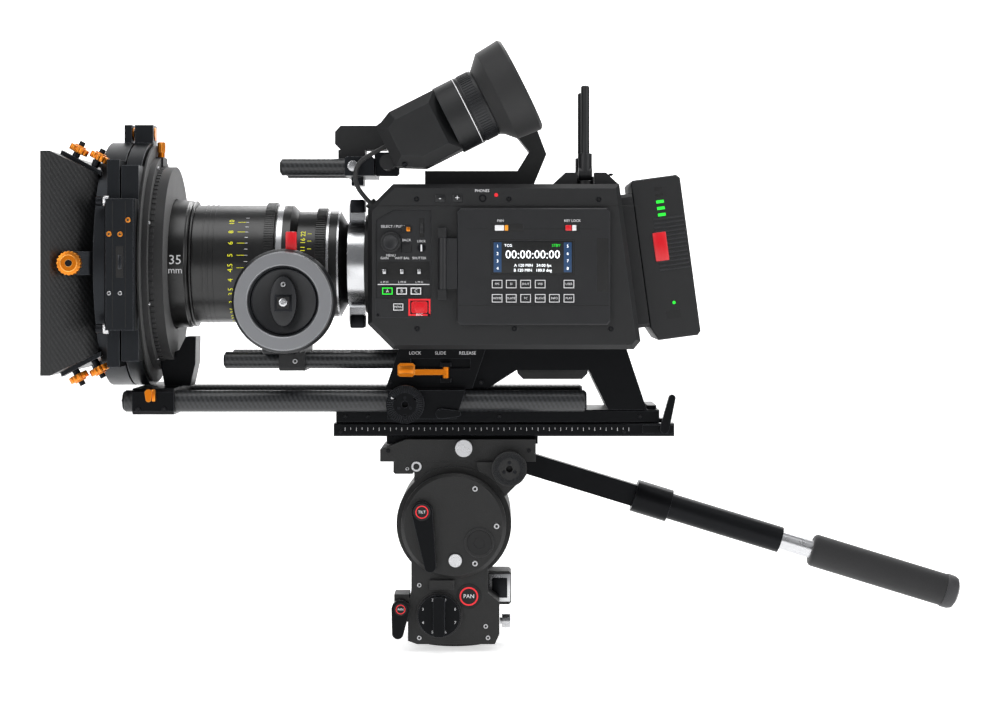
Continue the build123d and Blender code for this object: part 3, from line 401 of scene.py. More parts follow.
def gloss_enamel(name, colour, roughness=0.3):
    """Hard-anodised lens black: a smooth dark skin that mirrors soft boxes in long streaks."""
    material, shader = new_material(name)
    shader.inputs["IOR"].default_value = 1.55
    shader.inputs["Coat Weight"].default_value = 0.1
    shader.inputs["Coat Roughness"].default_value = 0.2
    shader.inputs["Base Color"].default_value = linear(colour)
    haze = object_noise(material, 12.0, 4.0)
    fine = object_noise(material, 0.5, 2.0)
    rough = between(material, haze, roughness - 0.04, roughness + 0.1)
    return finish(material, shader, None, rough, soft_edges(material, 0.4, fine, 0.05))


def printed(name, colour, glow=0.0):
    """Screen-printed ink or a lit mark: flat, a little uneven in its gloss."""
    material, shader = new_material(name)
    shader.inputs["IOR"].default_value = 1.5
    shader.inputs["Emission Strength"].default_value = glow
    shader.inputs["Emission Color"].default_value = linear(colour)
    shader.inputs["Base Color"].default_value = linear(colour)
    patches = object_noise(material, 4.0, 2.0)
    return finish(material, shader, None, between(material, patches, 0.4, 0.6))


def coated_glass(name):
    """Coated optical glass: nearly clear, with a faint blue-green bloom from its coating."""
    material, shader = new_material(name)
    shader.inputs["IOR"].default_value = 1.6
    shader.inputs["Roughness"].default_value = 0.02
    shader.inputs["Coat Weight"].default_value = 1.0
    shader.inputs["Coat Roughness"].default_value = 0.03
    shader.inputs["Coat Tint"].default_value = linear("9fd0ff")
    bloom = add(material, "ShaderNodeLayerWeight", {"Blend": 0.25})
    return finish(material, shader, mixed(material, bloom.outputs["Facing"], "06080d", "1b2c3a"))


# In the anodised, moulded and crackle finishes the second colour is the edge colour: wear with a painted
# edge highlight.
black_anodised = anodised("black_anodised_aluminium", "111214", "4a4c50", 0.36)
grey_anodised = anodised("grey_anodised_aluminium", "8b8c8f", "c2c3c6", 0.42)
dark_grey_anodised = anodised("dark_grey_anodised_aluminium", "26282b", "6a6c70", 0.38)
orange_anodised = anodised("orange_anodised_aluminium", "e07b12", "ffc46a", 0.3)
shell_polymer = moulded("glass_filled_polymer", "0c0d0f", "26282c", 0.5, 0.8, 0.22)
door_polymer = moulded("smooth_black_polymer", "101114", "2c2e33", 0.45, 0.5, 0.12)
key_polymer = moulded("key_cap_polymer", "0e0f11", "26272a", 0.4, 0.4, 0.1, 0.3)
red_polymer = moulded("red_moulded_polymer", "d3121f", "f04a50", 0.32, 0.6, 0.1)
head_paint = cast_paint("crackle_painted_magnesium", "080808", "343436")
rod_carbon = carbon_twill("twill_carbon_tube", 4.2, "08090a", "2b2d30")
hood_carbon = carbon_twill("twill_carbon_sheet", 3.4, "070808", "17181a")
tube_satin = anodised("satin_black_tube", "18191b", "4c4e52", 0.42)
eye_rubber = rubber("moulded_rubber", ("080809", "121214"), 0.6, 0.9)
grip_foam = rubber("closed_cell_foam", ("0a0a0b", "1d1d1f"), 0.7, 1.3)
grip_cap_rubber = rubber("grey_cap_rubber", ("1c1c1e", "3a3a3d"), 0.55, 0.9)
cable_jacket = rubber("soft_cable_jacket", ("0c0c0d", "141415"), 0.45, 0.6)
lens_black = gloss_enamel("hard_anodised_lens_black", "020202")
stainless = turned_steel("turned_stainless_steel", ("b9babc", "dcdcde"), 0.26)
bright_mount = turned_steel("polished_mount_steel", ("c4c5c7", "e2e3e5"), 0.2)
screw_black = turned_steel("black_oxide_steel", ("1c1d1f", "2f3033"), 0.36)
# Near-black for slots, grooves, seams, sockets and recesses is painted shade; on the round labels and the
# unlit charge bars it is their own colour.
shade_and_mark_black = moulded("near_black_painted_shade_and_marks", "050506", "0a0a0b", 0.7, 0.8, 0.1)
white_ink = printed("white_ink", "e8e8ea")
# The yellow scale ink glows though it is no lamp: a painted glow.
yellow_print_painted_glow = printed("yellow_print_painted_glow", "e6e312", 0.25)
# The red ink glows: the top lamp is lit, but on the REC frame and the dial rings the glow is painted light.
red_glowing_print_and_lamp = printed("red_glowing_print_and_lamp", "e0202a", 0.25)
green_ink = printed("green_lit_mark", "1bd12e", 0.9)
orange_ink = printed("orange_ink", "f09a1a")
screen_blue = printed("screen_background", "123356", 0.5)
screen_black = printed("screen_black", "020304", 0.05)
screen_white = printed("screen_lettering", "f2f6fa", 1.3)
lens_glass_coat = coated_glass("coated_optical_glass")


# Camera

lens = bpy.data.cameras.new("camera")
lens.lens = 80
lens.sensor_width = 36
lens.shift_y = -0.082
lens.dof.use_dof = False
eye = bpy.data.objects.new("camera", lens)
eye.location = (0.0405, -2.0, 0.329)
eye.rotation_euler = (radians(90), 0, 0)
bpy.context.scene.collection.objects.link(eye)
bpy.context.scene.camera = eye


# Cord

CABLE_ROUTE = [(-58.9, -57, 441.6), (-74.5, -58, 433.7), (-84.5, -59, 425.5),
               (-86.5, -58, 413), (-82.2, -57, 401.5), (-73.3, -57, 392.6)]
CABLE_RADIUS = 2.0


def make_cable():
    """The eyepiece lead, from the eyepiece's pivot down to the camera's front corner."""
    curve = bpy.data.curves.new("eyepiece_lead", "CURVE")
    curve.dimensions = "3D"
    curve.bevel_depth = CABLE_RADIUS * MM
    curve.bevel_resolution = 6
    curve.resolution_u = 12
    curve.use_fill_caps = True
    line = curve.splines.new("NURBS")
    line.points.add(len(CABLE_ROUTE) - 1)
    for point, (x, y, z) in zip(line.points, CABLE_ROUTE):
        point.co = (x * MM, y * MM, z * MM, 1)
    line.order_u = 3
    line.use_endpoint_u = True
    curve.materials.append(cable_jacket)
    lead = bpy.data.objects.new("eyepiece_lead", curve)
    bpy.context.scene.collection.objects.link(lead)
    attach(lead, "camera")
    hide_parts("eyepiece_cable")


make_cable()


# Studio

SHEET_SIZE = 12
FLOOR_DROP = 0.0005


def studio_surface(name, colour, roughness, glow):
    material, shader = new_material(name)
    shader.inputs["Base Color"].default_value = linear(colour)
    shader.inputs["Roughness"].default_value = roughness
    shader.inputs["Emission Color"].default_value = linear("ffffff")
    shader.inputs["Emission Strength"].default_value = glow
    return material


def flat_sheet(name, size, location, turn, material):
    sheet = bmesh.new()
    bmesh.ops.create_grid(sheet, x_segments=1, y_segments=1, size=size / 2)
    mesh = bpy.data.meshes.new(name)
    sheet.to_mesh(mesh)
    sheet.free()
    mesh.materials.append(material)
    surface = bpy.data.objects.new(name, mesh)
    surface.location = location
    surface.rotation_euler = [radians(angle) for angle in turn]
    bpy.context.scene.collection.objects.link(surface)


def soft_box(name, location, aim, size, power):
    light = bpy.data.lights.new(name, "AREA")
    light.shape = "RECTANGLE"
    light.size, light.size_y = size
    light.energy = power
    holder = bpy.data.objects.new(name, light)
    holder.location = location
    holder.rotation_euler = (Vector(aim) - Vector(location)).to_track_quat("-Z", "Y").to_euler()
    bpy.context.scene.collection.objects.link(holder)


def make_studio():
    """A pale floor and a pale wall behind, with soft boxes above, at the left and at the right."""
    pale_floor = studio_surface("pale_floor", "f2f2f2", 0.9, 0.62)
    pale_wall = studio_surface("pale_wall", "f4f4f4", 0.9, 1.0)
    flat_sheet("floor", SHEET_SIZE, (0, 0, -FLOOR_DROP), (0, 0, 0), pale_floor)
    flat_sheet("wall", SHEET_SIZE, (0, 5.5, 2), (90, 0, 0), pale_wall)
    soft_box("over_light", (0.1, -0.5, 2.3), (0, 0, 0.3), (2.2, 1.4), 27)
    soft_box("front_left_light", (-1.7, -1.9, 1.3), (-0.1, 0, 0.3), (1.0, 1.3), 19)
    soft_box("front_right_light", (1.9, -1.6, 0.9), (0.1, 0, 0.3), (0.9, 1.3), 12)
    soft_box("back_light", (0.4, 1.8, 1.9), (0, 0, 0.35), (1.6, 0.8), 22)
    world = bpy.data.worlds.new("studio")
    world.use_nodes = True
    background = world.node_tree.nodes["Background"]
    background.inputs["Color"].default_value = linear("f4f6fa")
    background.inputs["Strength"].default_value = 0.2
    bpy.context.scene.world = world
    bpy.context.scene.view_settings.view_transform = "Standard"


make_studio()


# Finishes of the frame's own nodes

FINISHES = {
    head_paint: ["pan_housing", "drum_covers", "tilt_cradle", "tilt_platform", "tripod_flange"],
    black_anodised: ["tilt_brake_lever", "pan_brake_lever", "pan_drag_knob", "pan_bar_arm",
                     "dovetail_plate", "bridge_plate", "rod_bridge", "quick_release_base",
                     "bridge_clamp_lever", "matte_bracket", "shoulder_frame", "dovetail_stop_lever",
                     "focus_gear"],
    tube_satin: ["pan_bar_tube"],
    stainless: ["pan_bar_extension", "level_light_button", "counterbalance_knob", "plate_release_knob"],
    rod_carbon: ["studio_rods", "light_rods", "top_rods"],
    hood_carbon: ["hood"],
    dark_grey_anodised: ["filter_stages", "top_rod_block"],
    orange_anodised: ["hood_knobs", "quick_release_lever", "rod_clamp_lever", "ring_lock_screw"],
    shell_polymer: ["camera_shell", "battery_pack", "top_handle", "eyepiece_body", "focus_gearbox"],
    door_polymer: ["monitor_door", "control_panel", "dioptre_ring", "antenna_near", "antenna_far"],
    key_polymer: ["panel_keys", "door_keys", "menu_dial", "setting_toggles"],
    red_polymer: ["record_button"],
    lens_black: ["lens_barrel", "focus_ring", "iris_ring", "sensor_module"],
    bright_mount: ["lens_lock_ring"],
    lens_glass_coat: ["lens_glass"],
    grey_anodised: ["focus_wheel"],
    eye_rubber: ["eyecup", "shoulder_pad", "rear_ring"],
    grip_foam: ["pan_bar_grip"],
}


def paint_frame():
    for material, names in FINISHES.items():
        for name in names:
            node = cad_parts[name]
            node.data.materials.clear()
            node.data.materials.append(material)
            for face in node.data.polygons:
                face.material_index = 0


paint_frame()


# Small repeated parts


def hex_screw(piece, location, turn, radius=2.0, metal=None):
    """A socket-head cap screw whose head stands along the turned X axis, with a hex socket."""
    head = turned_shape([(0, radius), (1.0, radius), (1.3, radius - 0.3), (1.3, radius * 0.6),
                         (0.6, radius * 0.6), (0.6, 0)], 24)
    piece.add(head, metal or stainless, location, turn)
    # The socket's floor is near-black: painted shade in the hex socket.
    socket = turned_shape([(0.65, radius * 0.58), (0.7, 0)], 6)
    piece.add(socket, shade_and_mark_black, location, turn)


NEAR = (0, 0, -90)
FAR = (0, 0, 90)


def side_screws(piece, points, face, radius, metal=None):
    """Screws at points in X and Z on both sides, their heads outward from Y = -face and Y = face."""
    for x, z in points:
        hex_screw(piece, (x, -face, z), NEAR, radius, metal)
        hex_screw(piece, (x, face, z), FAR, radius, metal)


def near_words(piece, words, height, x, z, y, material=None):
    """A word on the operator's side."""
    piece.add(words_shape(words, height), material or white_ink, (x, y, z))


def near_plate(piece, face, x, depth, z, bevel, material):
    """A small plate that stands out of the face at Y by one depth and into it by another."""
    piece.add(box_shape(x, (face - depth[0], face + depth[1]), z, bevel), material)


def near_knob(piece, profile, material, place, steps=48, closed=False):
    """A turned shape that stands outward on the operator's side."""
    piece.add(turned_shape(profile, steps, closed), material, place, NEAR)


def toothed_rim(piece, material, x, width, radius, teeth, height, centre=(0, 0, 0), turn=(0, 0, 0)):
    """A row of gear or grip teeth that stand out from a round rim about X."""
    half = 0.25 * 2 * pi * radius / teeth
    for tooth in range(teeth):
        block = box_shape((x, x + width), (-half, half), (radius - 0.4, radius + height), 0)
        placed(block, turn=(360 * tooth / teeth, 0, 0))
        piece.add(block, material, centre, turn)


LENS_AXIS = 339.0


# Matte box


def make_hood_knobs():
    """Orange clamping knobs on dark studs, four above, four below and one on each side."""
    knobs = Piece("hood_clamping_knobs", "matte_box")
    slope = 27.7
    radius, grip = 8.6, 5.6
    front_x, front_height, fall = -341.0, 99.5, 0.525
    for upside in (0, 180):
        for side in (-1, 1):
            for x, neck in ((-327.5, 4.0), (-311.0, 6.5)):
                height = front_height - (x - front_x) * fall
                for shape, material, along in (
                    (fluted_shape(radius, grip, 11, radius * 0.13, 0.7), orange_anodised, neck),
                    (disc_shape(3.2, neck + 0.5), screw_black, 0),
                    (disc_shape(2.6, 5.0), screw_black, neck + grip),
                    (disc_shape(5.2, 1.2), orange_anodised, neck + grip),
                ):
                    placed(shape, (along, 0, 0))
                    placed(shape, (x, side * 74.0, height), (0, slope - 90, 0))
                    knobs.add(shape, material, (0, 0, LENS_AXIS), (upside, 0, 0))
    for side, turn in ((-1, NEAR), (1, FAR)):
        place = (-324.5, side * 113.5, LENS_AXIS)
        knobs.add(fluted_shape(10.5, 7.0, 20, 0.7, 0.8), orange_anodised, place, turn)
        knobs.add(disc_shape(8.2, 7.4, 1.5), orange_anodised, place, turn)
        knobs.add(disc_shape(3.0, 8.2), screw_black, place, turn)
    knobs.done("hood_knobs")


def make_stage_details():
    """Screws, tray knobs and a tray slot on each side cover, hinge pins above and trays between."""
    trim = Piece("filter_stage_fittings", "matte_box")
    for side, turn in ((-1, NEAR), (1, FAR)):
        face = side * 111.5
        for x, z in ((-275.6, 375.8), (-291.8, 363.9), (-282.4, 363.7)):
            trim.add(disc_shape(2.3, 1.1), orange_anodised, (x, face, z), turn)
            # The hex centre is near-black: painted shade in its socket.
            trim.add(disc_shape(1.1, 1.2, 0.1, 6), shade_and_mark_black, (x, face, z), turn)
        for x in (-291.8, -282.4):
            hex_screw(trim, (x, face, 313.5), turn, 1.8)
        for z in (392.0, 283.4):
            trim.add(fluted_shape(4.6, 4.8, 16, 0.35, 0.4), stainless, (-297.4, side * 106.5, z))
            trim.add(disc_shape(4.0, 6.6, 0.8), screw_black, (-304.2, side * 106.5, z))
        # The tray slot and, below, the two grooves are thin near-black boxes: painted shade.
        slot = box_shape((-286.0, -279.4), (face - 0.35, face + 0.35), (326.7, 353.6), 0.3)
        trim.add(slot, shade_and_mark_black)
        lip = box_shape((-284.2, -281.2), (face - 0.9, face + 0.9), (334, 346), 0.4)
        trim.add(lip, dark_grey_anodised)
        for x in (-289.2, -278.2):
            trim.add(box_shape((x, x + 0.7), (face - 0.12, face + 0.12), (284.0, 392.0), 0.0), shade_and_mark_black)
    for x in (-289.6, -270.6):
        trim.add(disc_shape(6.0, 1.5), orange_anodised, (x, 0, 455.5))
    trim.add(disc_shape(3.2, 26.5), screw_black, (-296.0, 0, 455.5))
    for y in (-60, 60):
        for z in (253.5, 424.5):
            trim.add(box_shape((-297.2, -296.2), (y - 9, y + 9), (z - 2.2, z + 2.2), 0.4), screw_black)
    trim.done()


def make_rear_ring_details():
    """The flexible light ring behind the stages, toothed for grip, and its orange lock screw."""
    ring = Piece("light_ring_grip", "matte_box")
    toothed_rim(ring, eye_rubber, -261.9, 3.4, 86.6, 96, 1.1, (0, 0, LENS_AXIS))
    circle = 91.3
    for step in range(8):
        angle = radians(22.5 + 45 * step)
        place = (-262.3, circle * cos(angle), LENS_AXIS + circle * sin(angle))
        hex_screw(ring, place, (0, 0, 0), 1.5)
    ring.done()
    screw = Piece("ring_thumb_screw_grip", "ring_lock")
    screw.add(fluted_shape(3.7, 9.0, 12, 0.35, 0.4), orange_anodised, (-264.2, 0, 439.0), (0, -90, 0))
    screw.done()


def make_rod_fittings():
    """End caps with a bright stud on the long rods, and the clamp's screws and levers."""
    caps = Piece("rod_end_caps", "bridge")
    for side in (-1, 1):
        profile = [(0, 0), (0, 3.0), (0.8, 3.4), (0.8, 7.4), (1.6, 8.4), (2.6, 8.4), (2.6, 0)]
        caps.add(turned_shape(profile, 40), screw_black, (-290.4, side * 52.0, 218.6))
        caps.add(disc_shape(2.2, 1.0), stainless, (-291.0, side * 52.0, 218.6))
        caps.add(disc_shape(5.2, 1.2, 0.4), screw_black, (-204.1, side * 30.0, 253.6))
        caps.add(disc_shape(8.2, 1.4, 0.5), screw_black, (114.8, side * 52.0, 218.6))
    caps.done()
    clamp = Piece("rod_clamp_fittings", "matte_box")
    side_screws(clamp, ((-274.5, 212.0), (-252.0, 212.0)), 66.0, 2.2, screw_black)
    clamp.add(box_shape((-262.2, -258.9), (-70.0, -66.0), (219.0, 229.6), 0.8), orange_anodised)
    clamp.done()


make_hood_knobs()
make_stage_details()
make_rear_ring_details()
make_rod_fittings()


# Lens

FRONT_SKIN = 57.25
FOCUS_SKIN = 52.55
IRIS_SKIN = 46.95


def make_lens_details():
    """Gear teeth, grip ribs, bright rings and the engraved scales around the lens."""
    rings = Piece("lens_bright_rings", "camera")
    for x, width, radius in ((-156.6, 5.0, 52.75), (-103.6, 1.6, 47.6), (-113.0, 2.2, 47.7)):
        bore = radius - 1.0
        lens_ring(rings, [(0, bore), (0, radius), (width, radius), (width, bore)], stainless, x)
    for x in (-236.4, -232.9):
        lens_ring(rings, [(0, 54), (0, 56.2), (1.0, 56.6), (2.0, 56.2), (2.0, 54)], lens_black, x)
    lens_mark(rings, "35", 8.4, -243.6, FRONT_SKIN, 3, white_ink)
    lens_mark(rings, "mm", 6.0, -243.6, FRONT_SKIN, -6, white_ink)
    rings.done()
    focus = Piece("focus_scale_and_teeth", "focus")
    toothed_rim(focus, lens_black, -167.0, 8.2, 54.6, 137, 0.35, (0, 0, LENS_AXIS))
    # The yellow focus marks glow though they are printed: painted glow.
    for step, words in enumerate(("10", "8", "6", "5", "4.5", "4", "3.5", "3", "2.5", "2.2", "2")):
        tilt = 44 - step * 12
        lens_mark(focus, words, 4.6, -196.0, FOCUS_SKIN, tilt, yellow_print_painted_glow, -90)
        lens_line(focus, -187.0, 7.0, FOCUS_SKIN, tilt, yellow_print_painted_glow)
    for step in range(23):
        lens_line(focus, -182.5, 3.0, FOCUS_SKIN, 50 - step * 6, white_ink)
    for x in (-222, -217.5, -213):
        lens_ring(focus, [(0, 51.5), (0, 52.9), (1.4, 52.9), (1.4, 51.5)], lens_black, x)
    focus.done()
    iris = Piece("iris_scale_and_teeth", "iris")
    toothed_rim(iris, lens_black, -122.2, 8.4, 49.5, 124, 0.6, (0, 0, LENS_AXIS))
    # The yellow iris marks glow though they are printed: painted glow.
    for step, words in enumerate(("22", "16", "11", "8", "5.6", "4", "2.8", "2")):
        tilt = 34 - step * 9
        lens_mark(iris, words, 4.2, -133.0, IRIS_SKIN, tilt, yellow_print_painted_glow, -90)
        lens_line(iris, -127.5, 3.6, IRIS_SKIN, tilt, yellow_print_painted_glow)
    iris.done()
    mount = Piece("lens_mount_tabs", "lens_lock")
    for z in (LENS_AXIS + 45.5, LENS_AXIS - 57.5):
        mount.add(box_shape((-93.6, -80.4), (-13.5, 13.5), (z, z + 12), 1.6), screw_black)
    circle = 36.0
    for step in range(12):
        angle = radians(15 + 30 * step)
        place = (-94.4, circle * cos(angle), LENS_AXIS + circle * sin(angle))
        hex_screw(mount, place, (0, 180, 0), 1.2, screw_black)
    mount.done()


def lens_ring(piece, profile, material, x):
    """A ring around the lens that starts at X."""
    piece.add(turned_shape(profile, 96, True), material, (x, 0, LENS_AXIS))


def lens_mark(piece, words, height, x, radius, tilt, material, spin=0):
    """Lettering that lies on the barrel at an angle above the operator's side."""
    label = placed(words_shape(words, height, 0.1), turn=(0, spin, 0))
    placed(label, (0, -radius, 0))
    piece.add(placed(label, turn=(-tilt, 0, 0)), material, (x, 0, LENS_AXIS))


def lens_line(piece, x, length, radius, tilt, material):
    """A short line along the barrel at an angle above the operator's side."""
    line = box_shape((-length / 2, length / 2), (-radius - LINE_RELIEF, -radius + 0.3), (-0.22, 0.22), 0)
    piece.add(placed(line, turn=(-tilt, 0, 0)), material, (x, 0, LENS_AXIS))


make_lens_details()


# Follow focus

WHEEL_X = -144.3
WHEEL_Z = 306.6


def make_hand_wheel():
    """The hand wheel: a black rim, a grey marking ring, and a black cup with an oval boss."""
    wheel = Piece("hand_wheel", "wheel")
    centre = (WHEEL_X, -96.0, WHEEL_Z)
    rim = [(0, 0), (0, 44.3), (1.2, 44.8), (4.0, 44.8), (5.4, 44.2), (8.4, 42.6), (8.4, 30.0),
           (4.0, 29.2), (3.2, 27.6), (3.2, 0)]
    near_knob(wheel, rim, door_polymer, centre, 96)
    marking = [(8.4, 42.4), (13.2, 42.0), (14.0, 41.4), (14.0, 31.2), (13.4, 30.5), (8.4, 30.4)]
    near_knob(wheel, marking, grey_anodised, centre, 96, True)
    for radius in (29.6, 27.9):
        groove = [(3.0, radius - 0.7), (6.0, radius - 0.5), (6.0, radius), (3.0, radius)]
        near_knob(wheel, groove, black_anodised, centre, 96, True)
    half_width, half_height, points = 11.34, 21.4, 48
    boss = []
    for step in range(points):
        angle = 2 * pi * step / points
        boss.append((half_width * sin(angle), half_height * cos(angle)))
    wheel.add(plate_shape(boss, 7.0, 0.8), door_polymer, (WHEEL_X, -106.2, WHEEL_Z))
    wheel.add(box_shape((-7.4, 7.4), (-0.4, 0.4), (-8.6, 5.8), 0.3), screw_black, (WHEEL_X, -106.4, WHEEL_Z))
    wheel.add(box_shape((-5.4, 5.4), (-0.4, 0.4), (-6.6, 3.8), 0.3), shade_and_mark_black, (WHEEL_X, -106.75, WHEEL_Z))
    bolt = [(0, 0), (0, 3.6), (1.0, 3.4), (1.3, 2.8), (1.3, 1.6), (0.6, 1.4), (0.6, 0)]
    near_knob(wheel, bolt, stainless, (WHEEL_X, -107.1, WHEEL_Z - 1.0), 32)
    hex_screw(wheel, (WHEEL_X, -106.3, WHEEL_Z + 14.4), NEAR, 2.1)
    wheel.done("focus_wheel")


def make_follow_focus_details():
    """The red index pointer and the clamp's screws."""
    trim = Piece("follow_focus_fittings", "follow_focus")
    trim.add(box_shape((-143.6, -134.1), (-93.4, -88.2), (347.8, 366.2), 0.8), red_polymer)
    trim.add(box_shape((-140.9, -136.7), (-92.4, -88.7), (340.0, 348.4), 0.4), red_polymer)
    hex_screw(trim, (-140.0, -41.4, 253.0), NEAR, 2.2)
    for x in (-152.0, -135.5):
        for z in (262.0, 270.0):
            hex_screw(trim, (x, -60.4, z), NEAR, 1.2, screw_black)
    trim.done()


def make_drive_gear_teeth():
    """Fifty teeth on the driving gear, against the focus ring's 137."""
    teeth = Piece("drive_gear_teeth", "drive_gear")
    low, high = (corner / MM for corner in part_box("focus_gear"))
    toothed_rim(teeth, screw_black, low.x + 0.4, high.x - low.x - 0.8, 19.6, 50, 0.15, (0, -45.0, 279.0))
    teeth.done()


# Camera body

PANEL_FACE = -73.5
SHELL_FACE = -75.0
TOGGLE_PLACES = (-59.6, -44.4, -29.5)


def make_shell_screws():
    """Socket screws along the shell's edges, the top connector and its lamp, and two small keys."""
    trim = Piece("shell_fittings", "camera")
    corners = ((-31.8, 394.7), (48.2, 394.7), (126.0, 394.4), (-31.3, 282.5), (52.8, 282.4), (136.6, 282.2))
    side_screws(trim, corners, 74.6, 2.2, screw_black)
    for x, sign in ((-11.4, "-"), (3.5, "+")):
        trim.add(box_shape((x - 4.2, x + 4.2), (-76.2, -74.6), (392.4, 398.4), 0.7), key_polymer)
        near_words(trim, sign, 5.0, x, 395.6, -76.3)
    trim.add(disc_shape(3.2, 1.0), screw_black, (25.5, -74.8, 395.5), NEAR)
    # The connector's hole is near-black: painted shade.
    trim.add(disc_shape(2.0, 1.1, 0.1), shade_and_mark_black, (25.5, -74.8, 395.5), NEAR)
    trim.add(disc_shape(1.7, 1.0, 0.3), red_glowing_print_and_lamp, (37.2, -74.8, 398.3), NEAR)
    near_words(trim, "PHONES", 2.4, 25.0, 401.9, -75.1)
    # The seam line is a thin near-black box: painted shade in the seam.
    trim.add(box_shape((-76.0, 160.0), (-75.35, -74.7), (388.6, 389.2), 0.1), shade_and_mark_black, (2.0, 0, 0))
    for y in (-9, 9):
        for x in (-20, 60, 140):
            hex_screw(trim, (x, y, 418.6), (0, -90, 0), 2.0, screw_black)
    trim.done()


def make_panel_details():
    """Legends, the recessed strip, the shutter switch, lock slider and thumb wheel of the panel."""
    trim = Piece("panel_fittings", "camera")
    ink = PANEL_FACE - 0.1
    for words, height, x, z in (("SELECT / PUSH", 2.3, -52.5, 371.0), ("BACK", 2.2, -40.6, 359.2),
                                ("MENU", 2.2, -54.1, 345.9)):
        near_words(trim, words, height, x, z, ink)
    # The recessed strip is a near-black plate: painted shade of the recess.
    near_plate(trim, PANEL_FACE, (-65.6, -20.6), (0.15, 0.2), (325.0, 340.6), 0.2, shade_and_mark_black)
    for x, words in zip(TOGGLE_PLACES, ("GAIN", "WHT BAL", "SHUTTER")):
        near_words(trim, words, 2.1, x, 343.6, ink)
        near_words(trim, "L M H", 1.9, x, 322.8, ink)
    near_plate(trim, PANEL_FACE, (-65.6, -20.6), (0.25, 0.2), (320.4, 321.2), 0.1, white_ink)
    near_plate(trim, PANEL_FACE, (-45.2, -36.6), (1.8, 0.2), (366.0, 371.4), 0.7, shade_and_mark_black)
    near_plate(trim, PANEL_FACE, (-40.6, -37.2), (2.6, 0), (366.8, 370.6), 0.5, orange_anodised)
    # The thumb wheel's slot is a near-black plate: painted shade.
    near_plate(trim, PANEL_FACE, (-29.6, -25.2), (0.3, 0.2), (361.6, 378.4), 0.4, shade_and_mark_black)
    wheel = fluted_shape(6.8, 3.0, 24, 0.5, 0.3)
    trim.add(wheel, key_polymer, (-28.9, PANEL_FACE + 4.6, 370.0), (0, 0, 0))
    trim.add(disc_shape(3.4, 2.2), screw_black, (-27.6, PANEL_FACE, 352.4), NEAR)
    trim.add(box_shape((-28.3, -26.9), (PANEL_FACE - 3.0, PANEL_FACE - 1.9), (349.4, 355.4), 0.3), white_ink)
    near_words(trim, "LOCK", 2.0, -27.6, 358.2, ink)
    near_words(trim, "REC", 2.4, -29.3, 294.6, SHELL_FACE - 0.1)
    # The REC frame's red ink glows: painted glow.
    trim.add(outline_frame(19.0, 14.6, 1.4), red_glowing_print_and_lamp, (-29.3, SHELL_FACE - 0.05, 301.0))
    for x, z in ((-65.2, 294.4), (-21.0, 294.4)):
        hex_screw(trim, (x, -75.0, z), NEAR, 1.2, screw_black)
    trim.done()
    keys = Piece("panel_key_marks", "keys_panel")
    for x, words, ink in ((-57.0, "A", green_ink), (-44.6, "B", white_ink), (-32.3, "C", white_ink)):
        keys.add(outline_frame(9.0, 6.0, 0.8), ink, (x, -75.75, 315.1))
        near_words(keys, words, 2.8, x, 315.1, -75.9)
    keys.add(outline_frame(8.6, 6.0, 0.6), white_ink, (-47.6, -75.75, 301.3))
    near_words(keys, "MENU", 1.9, -47.6, 301.3, -75.9)
    keys.done()
    button = Piece("record_button_cap", "record")
    near_knob(button, [(0, 0), (0, 4.6), (0.3, 4.9), (0.8, 4.6), (1.0, 3.8), (1.0, 0)], red_polymer,
              (-29.3, -76.0, 301.0))
    button.done()
    dial = Piece("menu_dial_grip", "dial")
    toothed_rim(dial, key_polymer, 1.2, 3.6, 8.7, 44, 0.4, (-54.1, -74.8, 357.4), NEAR)
    near_knob(dial, [(0, 6.6), (0.9, 6.4), (1.2, 5.6), (0.7, 4.6), (0.5, 0), (0, 0)], door_polymer,
              (-54.1, -79.7, 357.4))
    dial.done()
    tips = Piece("toggle_tips", "toggles")
    for x in TOGGLE_PLACES:
        tips.add(box_shape((x - 1.5, x + 1.5), (-78.4, -76.9), (329.9, 334.1), 0.5), stainless)
    tips.done()


